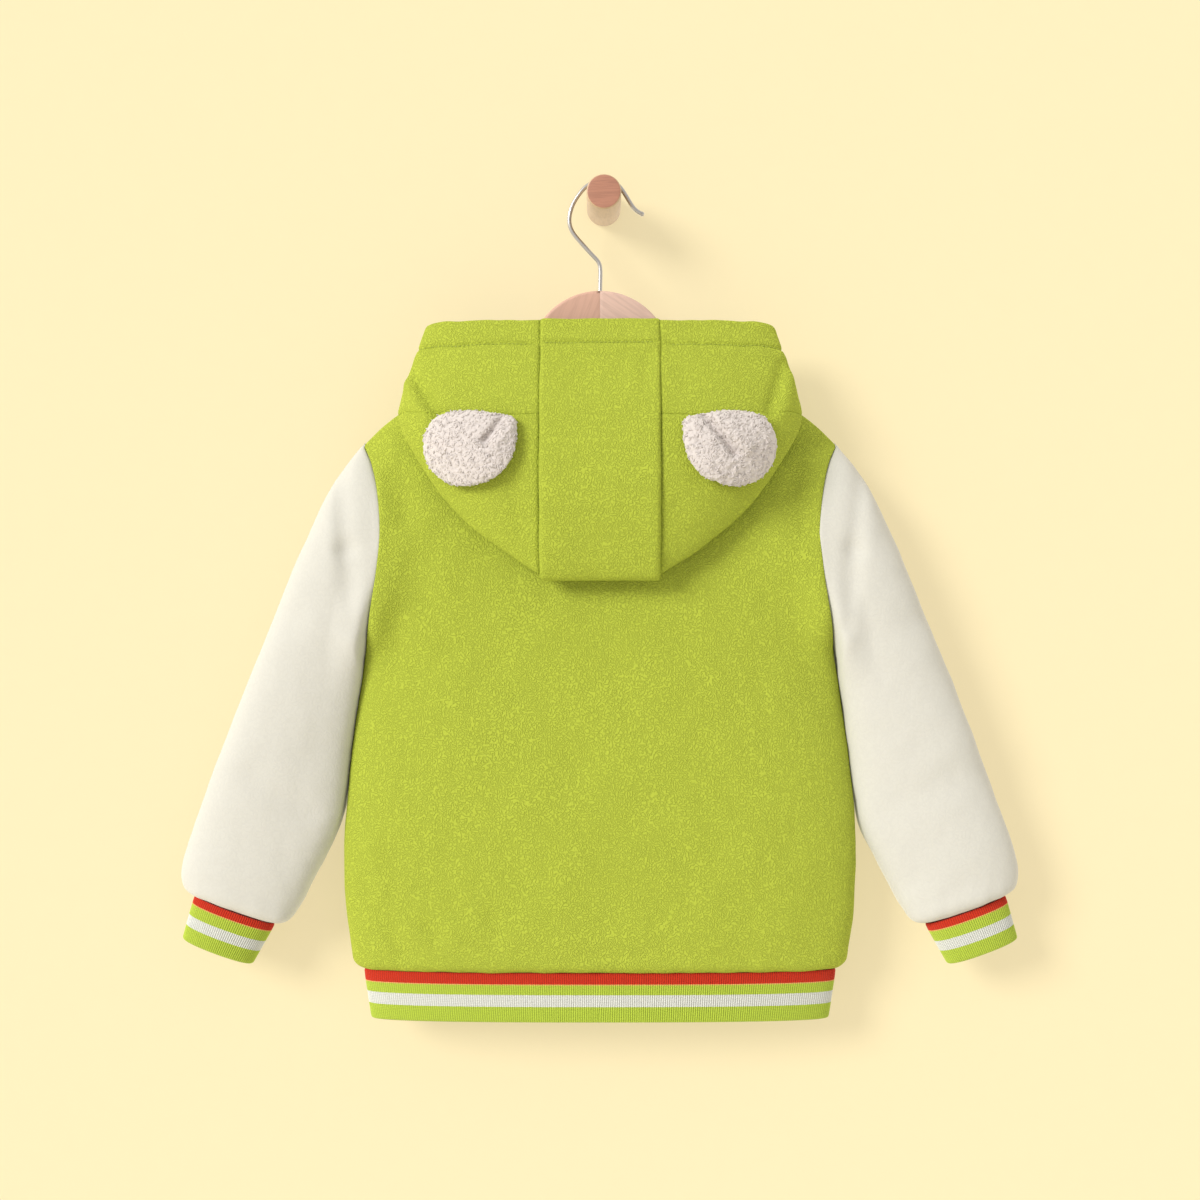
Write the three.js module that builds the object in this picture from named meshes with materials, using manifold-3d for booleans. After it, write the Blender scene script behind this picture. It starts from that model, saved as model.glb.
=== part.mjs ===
// A child's hooded bomber jacket on a wooden hanger, which hangs on a round wall peg.
// Millimetres, +Z up. The origin is the middle of the peg's back face: +Y runs into the wall.
// The jacket's back faces -Y, so the wearer's front faces the wall and the wearer's left is at -X.
// Every cloth piece is a wall made from a grid of outer points. The right-hand pieces are
// worked out, and the left-hand ones are their mirror images.
import * as THREE from "three";
import { mergeVertices } from "three/addons/utils/BufferGeometryUtils.js";
import Module from "manifold-3d";

const wasm = await Module();
wasm.setup();

// ---- Driving sizes -------------------------------------------------------------------------

const CLOTH = 2.5; // fleece
const RIB_WALL = 2.2; // knitted rib, under its raised ribs
const RIB_RISE = 0.5;
const RIB_PITCH = 3.4; // one raised rib stands for two knitted ones
const SEAM_GAP = 0.3;
const HOOD_GAP = 0.6; // at the hood's curved seams, where straight cells come closer
const NECK_GAP = 0.9; // at the neck seam, where two walls meet at an angle
const MID_Y = -34; // the plane of the side seams, the shoulder seams and the hanger
const HANG_X = -3; // the jacket hangs a little left of the peg
const NECK_X = 78; // neck point, where hood, back and front meet
const NECK_Z = -137;
const TIP_X = 185.5; // shoulder tip
const TIP_Z = -193;
const UNDERARM_Z = -353.5;
const ARMHOLE_BACK = 28; // from the side plane to the armhole's back edge
const ARMHOLE_FRONT = 20;
const SHOULDER_ROUND = 60; // depth over which the body fills out below the shoulder seam
const SIDE_ROUND = 2.6; // exponent of the body's round sides
const BODY_END_Z = -603;
const ZIP_EDGE = 5.8; // from the centre front to the edge of each front
const SLEEVE_GAP = 0.7; // between armhole edge and sleeve
const SLEEVE_FRONT = 0.78; // a sleeve is flatter towards the wall
const HOOD_END_X = 7; // from the centre front to the hood's ends
const STRIP_EDGE = 46; // half the width of the hood's centre strip, at its seam
const EAR_HALF = 6.6; // half the thickness of an ear
const EAR_STAND = 5.5; // from the hood to the ear's middle, at its root
const EAR_LEAN = 3.5; // how much further out its tip stands
const PEG_RADIUS = 13.5;
const PEG_LENGTH = 65;
const WIRE_RADIUS = 1.6;
const HANGER_THICK = 10;
const HANGER_BORE = 2;
const HANGER_Y = -35.2; // a little behind the side seams, where the body is deepest

const LIME = 0xb7c245;
const CREAM = 0xe8e2d3;
const SHERPA = 0xe4dad1;
const RIB_GREEN = 0xb7ca45;
const WOOD = 0xd5aa93;
const PEG_WOOD = 0xc38e74;
const STEEL = 0xb9b9b6;
const TEETH = 0x9fc12f;

// ---- Tables --------------------------------------------------------------------------------

// The body from the shoulder tips down: half width, and depth to the back and to the front.
const BODY = table("z half back front", [
  [-193, 185.5, 26, 18],
  [-209, 178.2, 27, 19.5],
  [-233, 172.5, 28.5, 21],
  [-262, 170, 30, 23],
  [-291, 172.4, 31, 24.5],
  [-326, 178, 32, 25.5],
  [-361, 183.7, 33, 26],
  [-408, 191.5, 33.5, 26.5],
  [-455, 197, 34, 27],
  [-502, 200.5, 34.5, 27],
  [-548, 199.7, 34.5, 27],
  [-578, 196.5, 33, 26],
  [-595, 192, 29.5, 23.5],
  [-603, 185.6, 24, 20],
]);
const SHOULDER = table("x z", [
  [78, -137],
  [110, -148.5],
  [140, -160],
  [156, -167.5],
  [170, -178],
  [180, -187.5],
  [185.5, -193],
]);
const BACK_NECK = table("x z", [
  [0, -149],
  [40, -148],
  [62, -144],
  [78, -137],
]);
const FRONT_NECK = table("x z", [
  [0, -205],
  [30, -200],
  [55, -180],
  [70, -157],
  [78, -137],
]);
// A sleeve from armhole to cuff, one row a section: its outer point, its inner point and how
// far its back lies behind the line between them.
const SLEEVE = table("outerX outerZ innerX innerZ outerY innerY depth", [
  [185.6, -192, 182.9, -355, -34, -34, 28],
  [207.5, -220.9, 186.6, -370.7, -36, -33, 30],
  [224.6, -256, 189.6, -388.6, -38, -31, 30],
  [244.9, -302.8, 193, -410.4, -40, -29, 29],
  [263.6, -349.6, 195.9, -433.8, -41, -28, 28],
  [282.4, -396.4, 198.8, -460.4, -41, -28, 27],
  [300.3, -443.2, 204, -489.2, -40, -29, 26],
  [314.3, -482.2, 216.8, -517.3, -39, -30, 25],
  [324.5, -511, 228.5, -539.9, -38, -31, 24],
  [327.6, -526.7, 234.8, -552.4, -37, -32, 23],
  [324.5, -537.6, 243.4, -562.5, -36, -34, 20],
  [318.2, -544.6, 254.3, -567.2, -35, -35, 16],
]);
// Soft troughs in the cloth that faces outwards, from one point to another.
const BACK_FOLDS = table("x1 z1 x2 z2 width depth", [
  [-152, -230, -143, -270, 11, 2],
  [150, -222, 158, -262, 10, 1.6],
  [-166, -572, -150, -596, 9, 1.2],
]);
const SLEEVE_FOLDS = table("x1 z1 x2 z2 width depth", [
  [193, -212, 185, -345, 8, 3],
  [226, -478, 268, -452, 12, 1.5],
]);
// The hood's meridians from the centre strip's seam round to the centre front. Each starts on
// the neckline, rises to its crest, lies down the back, folds and comes up again outside.
const HOOD = [
  // crest, against the back, fold, outer face, ear level, face edge
  [[46, -55, -135], [46, -66, -207], [46, -82, -294.5], [46, -100, -237], [46, -93, -172], [46, -66, -99.5]],
  [[60, -52, -133], [72, -64, -202], [80, -79, -272.5], [77, -98, -227], [75, -92, -172], [72, -64, -99.5]],
  [[72, -49, -130], [92, -61, -192], [109, -74, -248], [105, -92, -212], [102, -88, -170], [98, -62, -99.5]],
  [[86, -39, -126], [112, -56, -177], [134, -69, -215], [131, -83, -192], [127, -79, -162], [122, -57, -100]],
  [[90, -27, -128], [128, -43, -150], [154, -57, -175], [152, -65, -162], [146, -61, -138], [135, -48, -103]],
  [[82, -15, -145], [112, -20, -136], [140, -33, -150], [143, -37, -139], [134, -35, -124], [120, -31, -110]],
  [[58, -9, -175], [80, -8, -160], [98, -13, -150], [104, -16, -144], [100, -17, -136], [92, -17, -128]],
  [[9, -10, -198], [12, -8.5, -193], [14, -8, -189], [15, -8, -185], [15, -8.5, -182], [15, -10, -178]],
].map((row) => row.map((p) => new THREE.Vector3(...p)));
const NECK_STATION = 3; // the meridian at the neck point
// How far along each meridian the ear seam crosses it. It ends in the front neckline.
const EAR_SEAM = table("station along", [
  [0, 0.83],
  [2, 0.82],
  [3, 0.79],
  [4, 0.58],
  [4.4, 0.3],
  [4.65, 0.04],
]);
const SEAM_END = 4.65;
const CREST_STATION = 4.3; // where it begins to cross the crest
// The centre strip stands proud of the side panels, most at the fold.
const STRIP_RISE = table("along rise", [
  [0, 0],
  [0.3, 0],
  [0.42, 2],
  [0.5, 5],
  [0.6, 5.2],
  [0.83, 3],
  [1, 1.4],
]);
const STRIP_SHAPE = table("x share", [
  [14, 1],
  [41, 1],
  [44.4, 0.72],
  [45.7, 0],
]);
const EAR_OUTLINE = table("x z", [
  [64, -178],
  [62.4, -190],
  [65.5, -207],
  [74, -219.5],
  [87, -226.5],
  [104.5, -229],
  [119, -224],
  [130, -213],
  [134, -199],
  [132, -187],
  [125, -177],
  [113, -172.5],
  [97.5, -171.5],
  [80, -174],
]);
const EAR_MIDDLE = { x: 98, z: -200 };
// The pleat pressed into each ear, from its root towards its middle.
const EAR_PLEATS = {
  right: { x1: 90, z1: -176, x2: 108, z2: -204, width: 5, depth: 4.5 },
  left: { x1: 80, z1: -176, x2: 85, z2: -192, width: 5, depth: 4 },
};
const CUFF = {
  top: { outer: [317.9, -36, -545.6], inner: [255, -36, -568.3], depth: 15.5 },
  end: { outer: [327.6, -35, -579.7], inner: [273, -35, -600], depth: 15 },
};
const HEM = {
  top: { z: -603.3, half: 185.3, back: 23.7, front: 19.7 },
  end: { z: -642, half: 179.4, back: 22, front: 18.5 },
};
// The hook's wire, from its screwed end in the hanger over the peg to its tip: x and z.
const HOOK_PATH = table("x z", [
  [-3, -91.6],
  [-3, -72],
  [-3, -51],
  [-7.8, -45],
  [-23, -28],
  [-27, -20],
  [-27.2, -14],
  [-26, -8],
  [-22.4, 0],
  [-13, 11.3],
  [0, 15.6],
  [11, 12],
  [18.5, 1.3],
  [22.3, -5],
  [25, -8.6],
  [30, -11.2],
]);

// ---- Helpers -------------------------------------------------------------------------------

// Rows of numbers under named columns.
function table(names, rows) {
  return Object.fromEntries(names.split(" ").map((name, c) => [name, rows.map((row) => row[c])]));
}

function rowsOf(columns) {
  const names = Object.keys(columns);
  return columns[names[0]].map((_, i) => Object.fromEntries(names.map((n) => [n, columns[n][i]])));
}

const steps = (count) => Array.from({ length: count + 1 }, (_, k) => k / count);
const clamp = (v, low, high) => Math.min(Math.max(v, low), high);
const signedPower = (v, exponent) => Math.sign(v) * Math.abs(v) ** exponent;
const smooth = (v) => clamp(v, 0, 1) ** 2 * (3 - 2 * clamp(v, 0, 1));

// A smooth curve through two columns of a table, flat beyond its ends.
function curveOf(columns, from, to) {
  const [a, b] = [columns[from], columns[to]];
  const last = a.length - 1;
  const way = Math.sign(a[last] - a[0]);
  const slope = (i) => {
    const [low, high] = [Math.max(i - 1, 0), Math.min(i + 1, last)];
    return (b[high] - b[low]) / (a[high] - a[low]);
  };
  return (at) => {
    if ((at - a[0]) * way <= 0) return b[0];
    if ((at - a[last]) * way >= 0) return b[last];
    const i = a.findIndex((v, k) => (at - v) * way >= 0 && (at - a[k + 1]) * way < 0);
    const h = a[i + 1] - a[i];
    const t = (at - a[i]) / h;
    const [t2, t3] = [t * t, t * t * t];
    return (
      b[i] * (2 * t3 - 3 * t2 + 1) +
      b[i + 1] * (3 * t2 - 2 * t3) +
      h * (slope(i) * (t3 - 2 * t2 + t) + slope(i + 1) * (t3 - t2))
    );
  };
}

// A point at t on an even Catmull-Rom spline through points, which passes point i at t = i.
function splineAt(points, t) {
  const last = points.length - 1;
  const i = clamp(Math.floor(t), 0, last - 1);
  const u = t - i;
  const before = i > 0 ? points[i - 1] : points[0].clone().multiplyScalar(2).sub(points[1]);
  const after =
    i + 2 <= last ? points[i + 2] : points[last].clone().multiplyScalar(2).sub(points[last - 1]);
  return new THREE.Vector3()
    .addScaledVector(before, (-u + 2 * u * u - u ** 3) / 2)
    .addScaledVector(points[i], (2 - 5 * u * u + 3 * u ** 3) / 2)
    .addScaledVector(points[i + 1], (u + 4 * u * u - 3 * u ** 3) / 2)
    .addScaledVector(after, (u ** 3 - u * u) / 2);
}

// How deep the soft troughs of a list lie at a point of the cloth.
function troughs(folds, x, z) {
  let depth = 0;
  for (const f of folds) {
    const [dx, dz] = [f.x2 - f.x1, f.z2 - f.z1];
    const along = clamp(((x - f.x1) * dx + (z - f.z1) * dz) / (dx * dx + dz * dz), 0, 1);
    const away = Math.hypot(x - f.x1 - along * dx, z - f.z1 - along * dz);
    depth += f.depth * Math.exp(-((away / f.width) ** 2));
  }
  return depth;
}

// Points and faces of a closed surface under construction.
class Skin {
  points = [];
  faces = [];
  add(point) {
    this.points.push(point.x, point.y, point.z);
    return this.points.length / 3 - 1;
  }
  quad(a, b, c, d) {
    this.faces.push(a, b, c, a, c, d);
  }
  geometry() {
    const made = new THREE.BufferGeometry();
    made.setAttribute("position", new THREE.Float32BufferAttribute(this.points, 3));
    made.setIndex(this.faces);
    made.computeVertexNormals();
    return made;
  }
}

// The outward normals of a grid whose rows run down and whose columns run to the right, as
// seen from outside.
function gridNormals(grid, closed) {
  const columns = grid[0].length;
  const normals = grid.map((row) => row.map(() => new THREE.Vector3()));
  for (let i = 0; i + 1 < grid.length; i++) {
    for (let j = 0; j < (closed ? columns : columns - 1); j++) {
      const next = (j + 1) % columns;
      const down = grid[i + 1][next].clone().sub(grid[i][j]);
      const across = grid[i][next].clone().sub(grid[i + 1][j]);
      const normal = down.cross(across);
      for (const [a, b] of [[i, j], [i, next], [i + 1, j], [i + 1, next]]) normals[a][b].add(normal);
    }
  }
  normals.forEach((row) => row.forEach((n) => n.normalize()));
  return normals;
}

// A cloth wall under a grid of outer points, laid out as gridNormals says. settle moves an
// inner point that has to keep clear of the next piece.
function wall(grid, { closed = false, normals = gridNormals(grid, closed), settle = () => {} } = {}) {
  const skin = new Skin();
  const [rows, columns] = [grid.length, grid[0].length];
  const outer = grid.map((row) => row.map((p) => skin.add(p)));
  const inner = grid.map((row, i) =>
    row.map((p, j) => {
      const q = p.clone().addScaledVector(normals[i][j], -CLOTH);
      settle(q, p, i, j);
      return skin.add(q);
    }),
  );
  for (let j = 0; j < (closed ? columns : columns - 1); j++) {
    const next = (j + 1) % columns;
    for (let i = 0; i + 1 < rows; i++) {
      skin.quad(outer[i][j], outer[i + 1][j], outer[i + 1][next], outer[i][next]);
      skin.quad(inner[i][j], inner[i][next], inner[i + 1][next], inner[i + 1][j]);
    }
    skin.quad(outer[0][j], outer[0][next], inner[0][next], inner[0][j]);
    const end = rows - 1;
    skin.quad(outer[end][j], inner[end][j], inner[end][next], outer[end][next]);
  }
  if (!closed) {
    const right = columns - 1;
    for (let i = 0; i + 1 < rows; i++) {
      skin.quad(outer[i][0], inner[i][0], inner[i + 1][0], outer[i + 1][0]);
      skin.quad(outer[i][right], outer[i + 1][right], inner[i + 1][right], inner[i][right]);
    }
  }
  return skin.geometry();
}

// A closed body through rings of points, which run anticlockwise as seen from the first ring's
// outer side. Its ends are fans from each ring's first point.
function loft(rings) {
  const skin = new Skin();
  const ids = rings.map((ring) => ring.map((p) => skin.add(p)));
  const count = rings[0].length;
  for (let i = 0; i + 1 < ids.length; i++) {
    for (let j = 0; j < count; j++) {
      const next = (j + 1) % count;
      skin.quad(ids[i][j], ids[i + 1][j], ids[i + 1][next], ids[i][next]);
    }
  }
  const end = ids.length - 1;
  for (let j = 1; j + 1 < count; j++) {
    skin.faces.push(ids[0][0], ids[0][j], ids[0][j + 1]);
    skin.faces.push(ids[end][0], ids[end][j + 1], ids[end][j]);
  }
  return skin.geometry();
}

// A band of knitted rib: raised ribs outside, a plain wall inside. pointAt(level, angle, inset)
// gives its shape, with level 0 at its top and 1 at its end.
function ribbedBand(pointAt, from, to, ribs, closed) {
  const skin = new Skin();
  const ring = (level, angles, insetOf) =>
    angles.map((angle, k) => skin.add(pointAt(level, angle, insetOf(k))));
  const spread = (cells) => {
    const angles = evenPlaces((angle) => pointAt(0.5, angle, 0), from, to, cells);
    return closed ? angles.slice(0, -1) : angles;
  };
  const outerAngles = spread(2 * ribs);
  const innerAngles = spread(Math.round(ribs / 4));
  const ribInset = (k) => (k % 2 ? RIB_RISE : -RIB_RISE);
  const outer = [0, 1].map((level) => ring(level, outerAngles, ribInset));
  const inner = [0, 1].map((level) => ring(level, innerAngles, () => RIB_RISE + RIB_WALL));
  const cells = (ids) => (closed ? ids.length : ids.length - 1);
  const at = (ids, k) => ids[k % ids.length];
  for (let j = 0; j < cells(outer[0]); j++) {
    skin.quad(at(outer[0], j), at(outer[1], j), at(outer[1], j + 1), at(outer[0], j + 1));
  }
  for (let j = 0; j < cells(inner[0]); j++) {
    skin.quad(at(inner[0], j), at(inner[0], j + 1), at(inner[1], j + 1), at(inner[1], j));
  }
  for (const level of [0, 1]) {
    const [outs, ins] = [outer[level], inner[level]];
    let [i, j] = [0, 0];
    while (i < cells(outs) || j < cells(ins)) {
      const outward = (i + 1) / cells(outs) <= (j + 1) / cells(ins);
      const face = outward
        ? [at(outs, i), at(outs, i + 1), at(ins, j)]
        : [at(outs, i), at(ins, j + 1), at(ins, j)];
      skin.faces.push(...(level ? face.reverse() : face));
      if (outward) i++;
      else j++;
    }
  }
  if (!closed) {
    const [a, b] = [outer[0].length - 1, inner[0].length - 1];
    skin.quad(outer[1][0], outer[0][0], inner[0][0], inner[1][0]);
    skin.quad(outer[0][a], outer[1][a], inner[1][b], inner[0][b]);
  }
  return skin.geometry();
}

// Places that divide a curve into equal lengths.
function evenPlaces(pointAt, from, to, count) {
  const fine = steps(2000).map((f) => from + (to - from) * f);
  const lengths = [0];
  for (let k = 1; k < fine.length; k++) {
    lengths.push(lengths[k - 1] + pointAt(fine[k]).distanceTo(pointAt(fine[k - 1])));
  }
  let k = 0;
  return steps(count).map((f) => {
    const wanted = f * lengths.at(-1);
    while (k < fine.length - 2 && lengths[k + 1] < wanted) k++;
    const part = (wanted - lengths[k]) / (lengths[k + 1] - lengths[k]);
    return fine[k] + (fine[k + 1] - fine[k]) * part;
  });
}

// A closed geometry as a manifold-3d solid, and back.
function solid(geometry) {
  const bare = geometry.clone().deleteAttribute("normal").deleteAttribute("uv");
  const merged = mergeVertices(bare, 1e-4);
  return new wasm.Manifold(
    new wasm.Mesh({
      numProp: 3,
      vertProperties: merged.attributes.position.array,
      triVerts: new Uint32Array(merged.index.array),
    }),
  );
}

function geometryOf(made) {
  const mesh = made.getMesh();
  const geometry = new THREE.BufferGeometry();
  geometry.setAttribute("position", new THREE.BufferAttribute(mesh.vertProperties, 3));
  geometry.setIndex(new THREE.BufferAttribute(mesh.triVerts, 1));
  geometry.computeVertexNormals();
  return geometry;
}

// ---- The body: back and fronts -------------------------------------------------------------

const halfWidth = curveOf(BODY, "z", "half");
const backDepth = curveOf(BODY, "z", "back");
const frontDepth = curveOf(BODY, "z", "front");
const shoulderZ = curveOf(SHOULDER, "x", "z");
const backNeckZ = curveOf(BACK_NECK, "x", "z");
const frontNeckZ = curveOf(FRONT_NECK, "x", "z");
const backFolds = rowsOf(BACK_FOLDS);
const sleeveFolds = rowsOf(SLEEVE_FOLDS);

// From the side plane to the armhole's edge.
function armholeDepth(z, deepest) {
  const share = clamp((TIP_Z - z) / (TIP_Z - UNDERARM_Z), 0, 1);
  return deepest * Math.max(Math.sin(Math.PI * share), 0) ** 0.8;
}

function bodyDepth(x, z, fullDepth, armhole) {
  const below = clamp((shoulderZ(Math.abs(x)) - z) / SHOULDER_ROUND, 0, 1);
  const rise = Math.sqrt(1 - (1 - below) ** 2);
  const share = Math.min(Math.abs(x) / halfWidth(z), 1);
  const side = (1 - share ** SIDE_ROUND) ** (1 / SIDE_ROUND);
  const edge = armholeDepth(z, armhole);
  return edge + (fullDepth * rise - edge) * side;
}

function backPoint(x, z) {
  const depth = bodyDepth(x, z, backDepth(z), ARMHOLE_BACK) - troughs(backFolds, x, z);
  return new THREE.Vector3(x, MID_Y - SEAM_GAP / 2 - Math.max(depth, 0), z);
}

function frontPoint(x, z) {
  const depth = bodyDepth(x, z, frontDepth(z), ARMHOLE_FRONT);
  return new THREE.Vector3(x, MID_Y + SEAM_GAP / 2 + depth, z);
}

// A half of a body panel, from innerX to its side: shares of its width, with one at the neck.
function bodyShares(innerX) {
  const neck = (NECK_X - innerX) / (TIP_X - innerX);
  const [neckCells, sideCells] = [6, 6];
  const toNeck = steps(neckCells).map((f) => neck * f);
  const toSide = steps(sideCells).slice(1).map((f) => neck + (1 - neck) * Math.sin((Math.PI / 2) * f));
  return [...toNeck, ...toSide];
}

// The rows of a body panel lie closest under the shoulder and above the hem.
function bodyGrid(shares, innerX, neckZ, pointAt) {
  const topZ = (x) => (x < NECK_X ? neckZ(x) : shoulderZ(x));
  const down = (f) => f - (0.85 * Math.sin(2 * Math.PI * f)) / (2 * Math.PI);
  return steps(20).map((f) =>
    shares.map((share) => {
      const [side, part] = [share < 0 ? -1 : 1, Math.abs(share)];
      const top = topZ(innerX + (TIP_X - innerX) * part);
      const z = top + (BODY_END_Z - top) * down(f);
      return pointAt(side * (innerX + (halfWidth(z) - innerX) * part), z);
    }),
  );
}

function backPanel() {
  const half = bodyShares(0);
  const shares = [...half.slice(1).reverse().map((s) => -s), ...half];
  return wall(bodyGrid(shares, 0, backNeckZ, backPoint), {
    settle: (q) => (q.y = Math.min(q.y, MID_Y - SEAM_GAP / 2)),
  });
}

function frontPanel() {
  const shares = bodyShares(ZIP_EDGE).reverse();
  return wall(bodyGrid(shares, ZIP_EDGE, frontNeckZ, frontPoint), {
    settle: (q, p) => {
      q.y = Math.max(q.y, MID_Y + SEAM_GAP / 2);
      q.x = p.x - ZIP_EDGE < 0.01 ? p.x : Math.max(q.x, ZIP_EDGE);
    },
  });
}

// ---- Sleeves and cuffs ---------------------------------------------------------------------

const sleeveOuter = SLEEVE.outerX.map((x, i) => new THREE.Vector3(x, SLEEVE.outerY[i], SLEEVE.outerZ[i]));
const sleeveInner = SLEEVE.innerX.map((x, i) => new THREE.Vector3(x, SLEEVE.innerY[i], SLEEVE.innerZ[i]));
const sleeveDepth = curveOf({ row: SLEEVE.depth.map((_, i) => i), depth: SLEEVE.depth }, "row", "depth");

// A flattened oval section. Angle 0 is its outer point and a half turn its inner one, over the
// side that faces outwards.
function ovalPoint(outer, inner, depth, angle, inset = 0) {
  const middle = outer.clone().add(inner).multiplyScalar(0.5);
  const arm = outer.clone().sub(middle);
  arm.setLength(arm.length() - inset);
  const back = Math.sin(angle) > 0;
  const reach = back ? -(depth - inset) : depth * SLEEVE_FRONT - inset;
  const point = middle.addScaledVector(arm, signedPower(Math.cos(angle), 0.9));
  point.y += reach * Math.abs(Math.sin(angle)) ** 0.9;
  return point;
}

function armholePoint(angle) {
  const z = TIP_Z + ((UNDERARM_Z - TIP_Z) * (1 - Math.cos(angle))) / 2;
  const out = Math.sin(angle) > 0 ? -armholeDepth(z, ARMHOLE_BACK) : armholeDepth(z, ARMHOLE_FRONT);
  return new THREE.Vector3(halfWidth(z) + SLEEVE_GAP, MID_Y + out, z);
}

// row runs through the sleeve's table, and the first rows turn from the armhole's edge into
// the oval sections.
function sleevePoint(row, angle) {
  const oval = ovalPoint(splineAt(sleeveOuter, row), splineAt(sleeveInner, row), sleeveDepth(row), angle);
  const point = armholePoint(angle).lerp(oval, smooth(row / 1.2));
  if (point.y < MID_Y) {
    const free = smooth((MID_Y - point.y) / 12) * smooth(row / 0.5);
    point.y += troughs(sleeveFolds, point.x, point.z) * free;
  }
  return point;
}

function sleeve() {
  const around = 22;
  const rows = [0, 0.35, 0.8, 1.4, 2, 3, 4, 5, 6, 7, 8, 9, 10, 11];
  const grid = rows.map((row) =>
    Array.from({ length: around }, (_, j) => sleevePoint(row, (-2 * Math.PI * j) / around)),
  );
  return wall(grid, {
    closed: true,
    settle: (q, p, i) => {
      if (i === 0) q.x = p.x;
    },
  });
}

function cuff() {
  const vector = (p) => new THREE.Vector3(...p);
  const pointAt = (level, angle, inset) =>
    ovalPoint(
      vector(CUFF.top.outer).lerp(vector(CUFF.end.outer), level),
      vector(CUFF.top.inner).lerp(vector(CUFF.end.inner), level),
      CUFF.top.depth + (CUFF.end.depth - CUFF.top.depth) * level,
      angle,
      inset,
    );
  return ribbedBand(pointAt, 0, -2 * Math.PI, 44, true);
}

// ---- Hem band ------------------------------------------------------------------------------

// Angle 0 is the right side seam, a quarter turn the centre back.
function hemPoint(level, angle, inset) {
  const size = (name) => HEM.top[name] + (HEM.end[name] - HEM.top[name]) * level;
  const across = signedPower(Math.cos(angle), 2 / SIDE_ROUND);
  const out = Math.abs(Math.sin(angle)) ** (2 / SIDE_ROUND);
  const depth = Math.sin(angle) > 0 ? -(size("back") - inset) : size("front") - inset;
  return new THREE.Vector3(across * (size("half") - inset), MID_Y + depth * out, size("z"));
}

function hemBand() {
  const end = (ZIP_EDGE + 0.4) / HEM.top.half;
  const gap = Math.asin(end ** (SIDE_ROUND / 2)); // angle from the centre front to each end
  const ribs = Math.round(748 / RIB_PITCH);
  return ribbedBand(hemPoint, 1.5 * Math.PI - gap, -0.5 * Math.PI + gap, ribs, false);
}

// ---- Hood ----------------------------------------------------------------------------------

const earSeamAt = curveOf(EAR_SEAM, "station", "along");
const stripRise = curveOf(STRIP_RISE, "along", "rise");
const stripShare = curveOf(STRIP_SHAPE, "x", "share");

// The neck edges of the body's panels, from the centre to the neck point.
const neckEdge = (grid) => grid[0].filter((p) => p.x < NECK_X + 0.01);
const backNeck = neckEdge(bodyGrid(bodyShares(0), 0, backNeckZ, backPoint));
const frontNeck = neckEdge(bodyGrid(bodyShares(ZIP_EDGE), ZIP_EDGE, frontNeckZ, frontPoint));

// The hood's lower edge stands a seam's gap inside a panel's neck edge.
function aboveNeck(edge, x) {
  const k = edge.findIndex((p, i) => i > 0 && (p.x >= x || i === edge.length - 1));
  const cell = edge[k].clone().sub(edge[k - 1]);
  const point = edge[k - 1].clone().addScaledVector(cell, (x - edge[k - 1].x) / cell.x);
  return point.add(new THREE.Vector3(-cell.z, 0, cell.x).setLength(NECK_GAP));
}

// Where a meridian stands on the neckline.
function necklinePoint(station) {
  const fromNeck = (station - NECK_STATION) / 4;
  if (fromNeck > 0) return aboveNeck(frontNeck, NECK_X - (NECK_X - HOOD_END_X) * fromNeck ** 2.5);
  return aboveNeck(backNeck, NECK_X + ((NECK_X - STRIP_EDGE) * 4 * fromNeck) / NECK_STATION);
}

// The hood at a station round the neck, along its meridian from 0 at the neckline to 1 at the
// face edge.
function hoodPoint(station, along) {
  const keys = HOOD[0].map((_, k) => splineAt(HOOD.map((row) => row[k]), station));
  return splineAt([necklinePoint(station), ...keys], 6 * along);
}

function hoodNormal(station, along) {
  const h = 1e-3;
  const [s0, s1] = [Math.max(station - h, 0), Math.min(station + h, 7)];
  const [r0, r1] = [Math.max(along - h, 0), Math.min(along + h, 1)];
  const round = hoodPoint(s1, along).sub(hoodPoint(s0, along));
  const up = hoodPoint(station, r1).sub(hoodPoint(station, r0));
  return round.cross(up).normalize();
}

// Steps along a meridian that lie closest at the fold, which is half way along it.
const FOLD_PULL = 1.8;
const alongOf = (q) => 0.5 + signedPower(q, FOLD_PULL) / 2;
const stepOf = (along) => signedPower(2 * along - 1, 1 / FOLD_PULL);

// A side panel between two curves across the meridians. seamRow is the row that lies on the ear
// seam, and side says which side of the seam the panel is on.
function hoodWall(stations, rows, lowest, highest, seamRow, side) {
  const places = steps(rows).map((f) =>
    stations.map((s) => {
      const [low, high] = [stepOf(lowest(s)), stepOf(highest(s))];
      return [s, alongOf(high + (low - high) * f)];
    }),
  );
  const grid = places.map((row) => row.map(([s, r]) => hoodPoint(s, r)));
  const shifts = stations.map((s) => (s > SEAM_END ? new THREE.Vector3() : seamShift(s).multiplyScalar(side)));
  grid[seamRow].forEach((p, j) => p.add(shifts[j]));
  return wall(grid, {
    normals: places.map((row) => row.map(([s, r]) => hoodNormal(s, r))),
    settle: (q, p, i, j) => {
      if (i === seamRow) q.addScaledVector(shifts[j], 1.1); // the edge leans back from the seam
      q.x = p.x < STRIP_EDGE + 0.01 ? p.x : Math.max(q.x, STRIP_EDGE);
    },
  });
}

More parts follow.
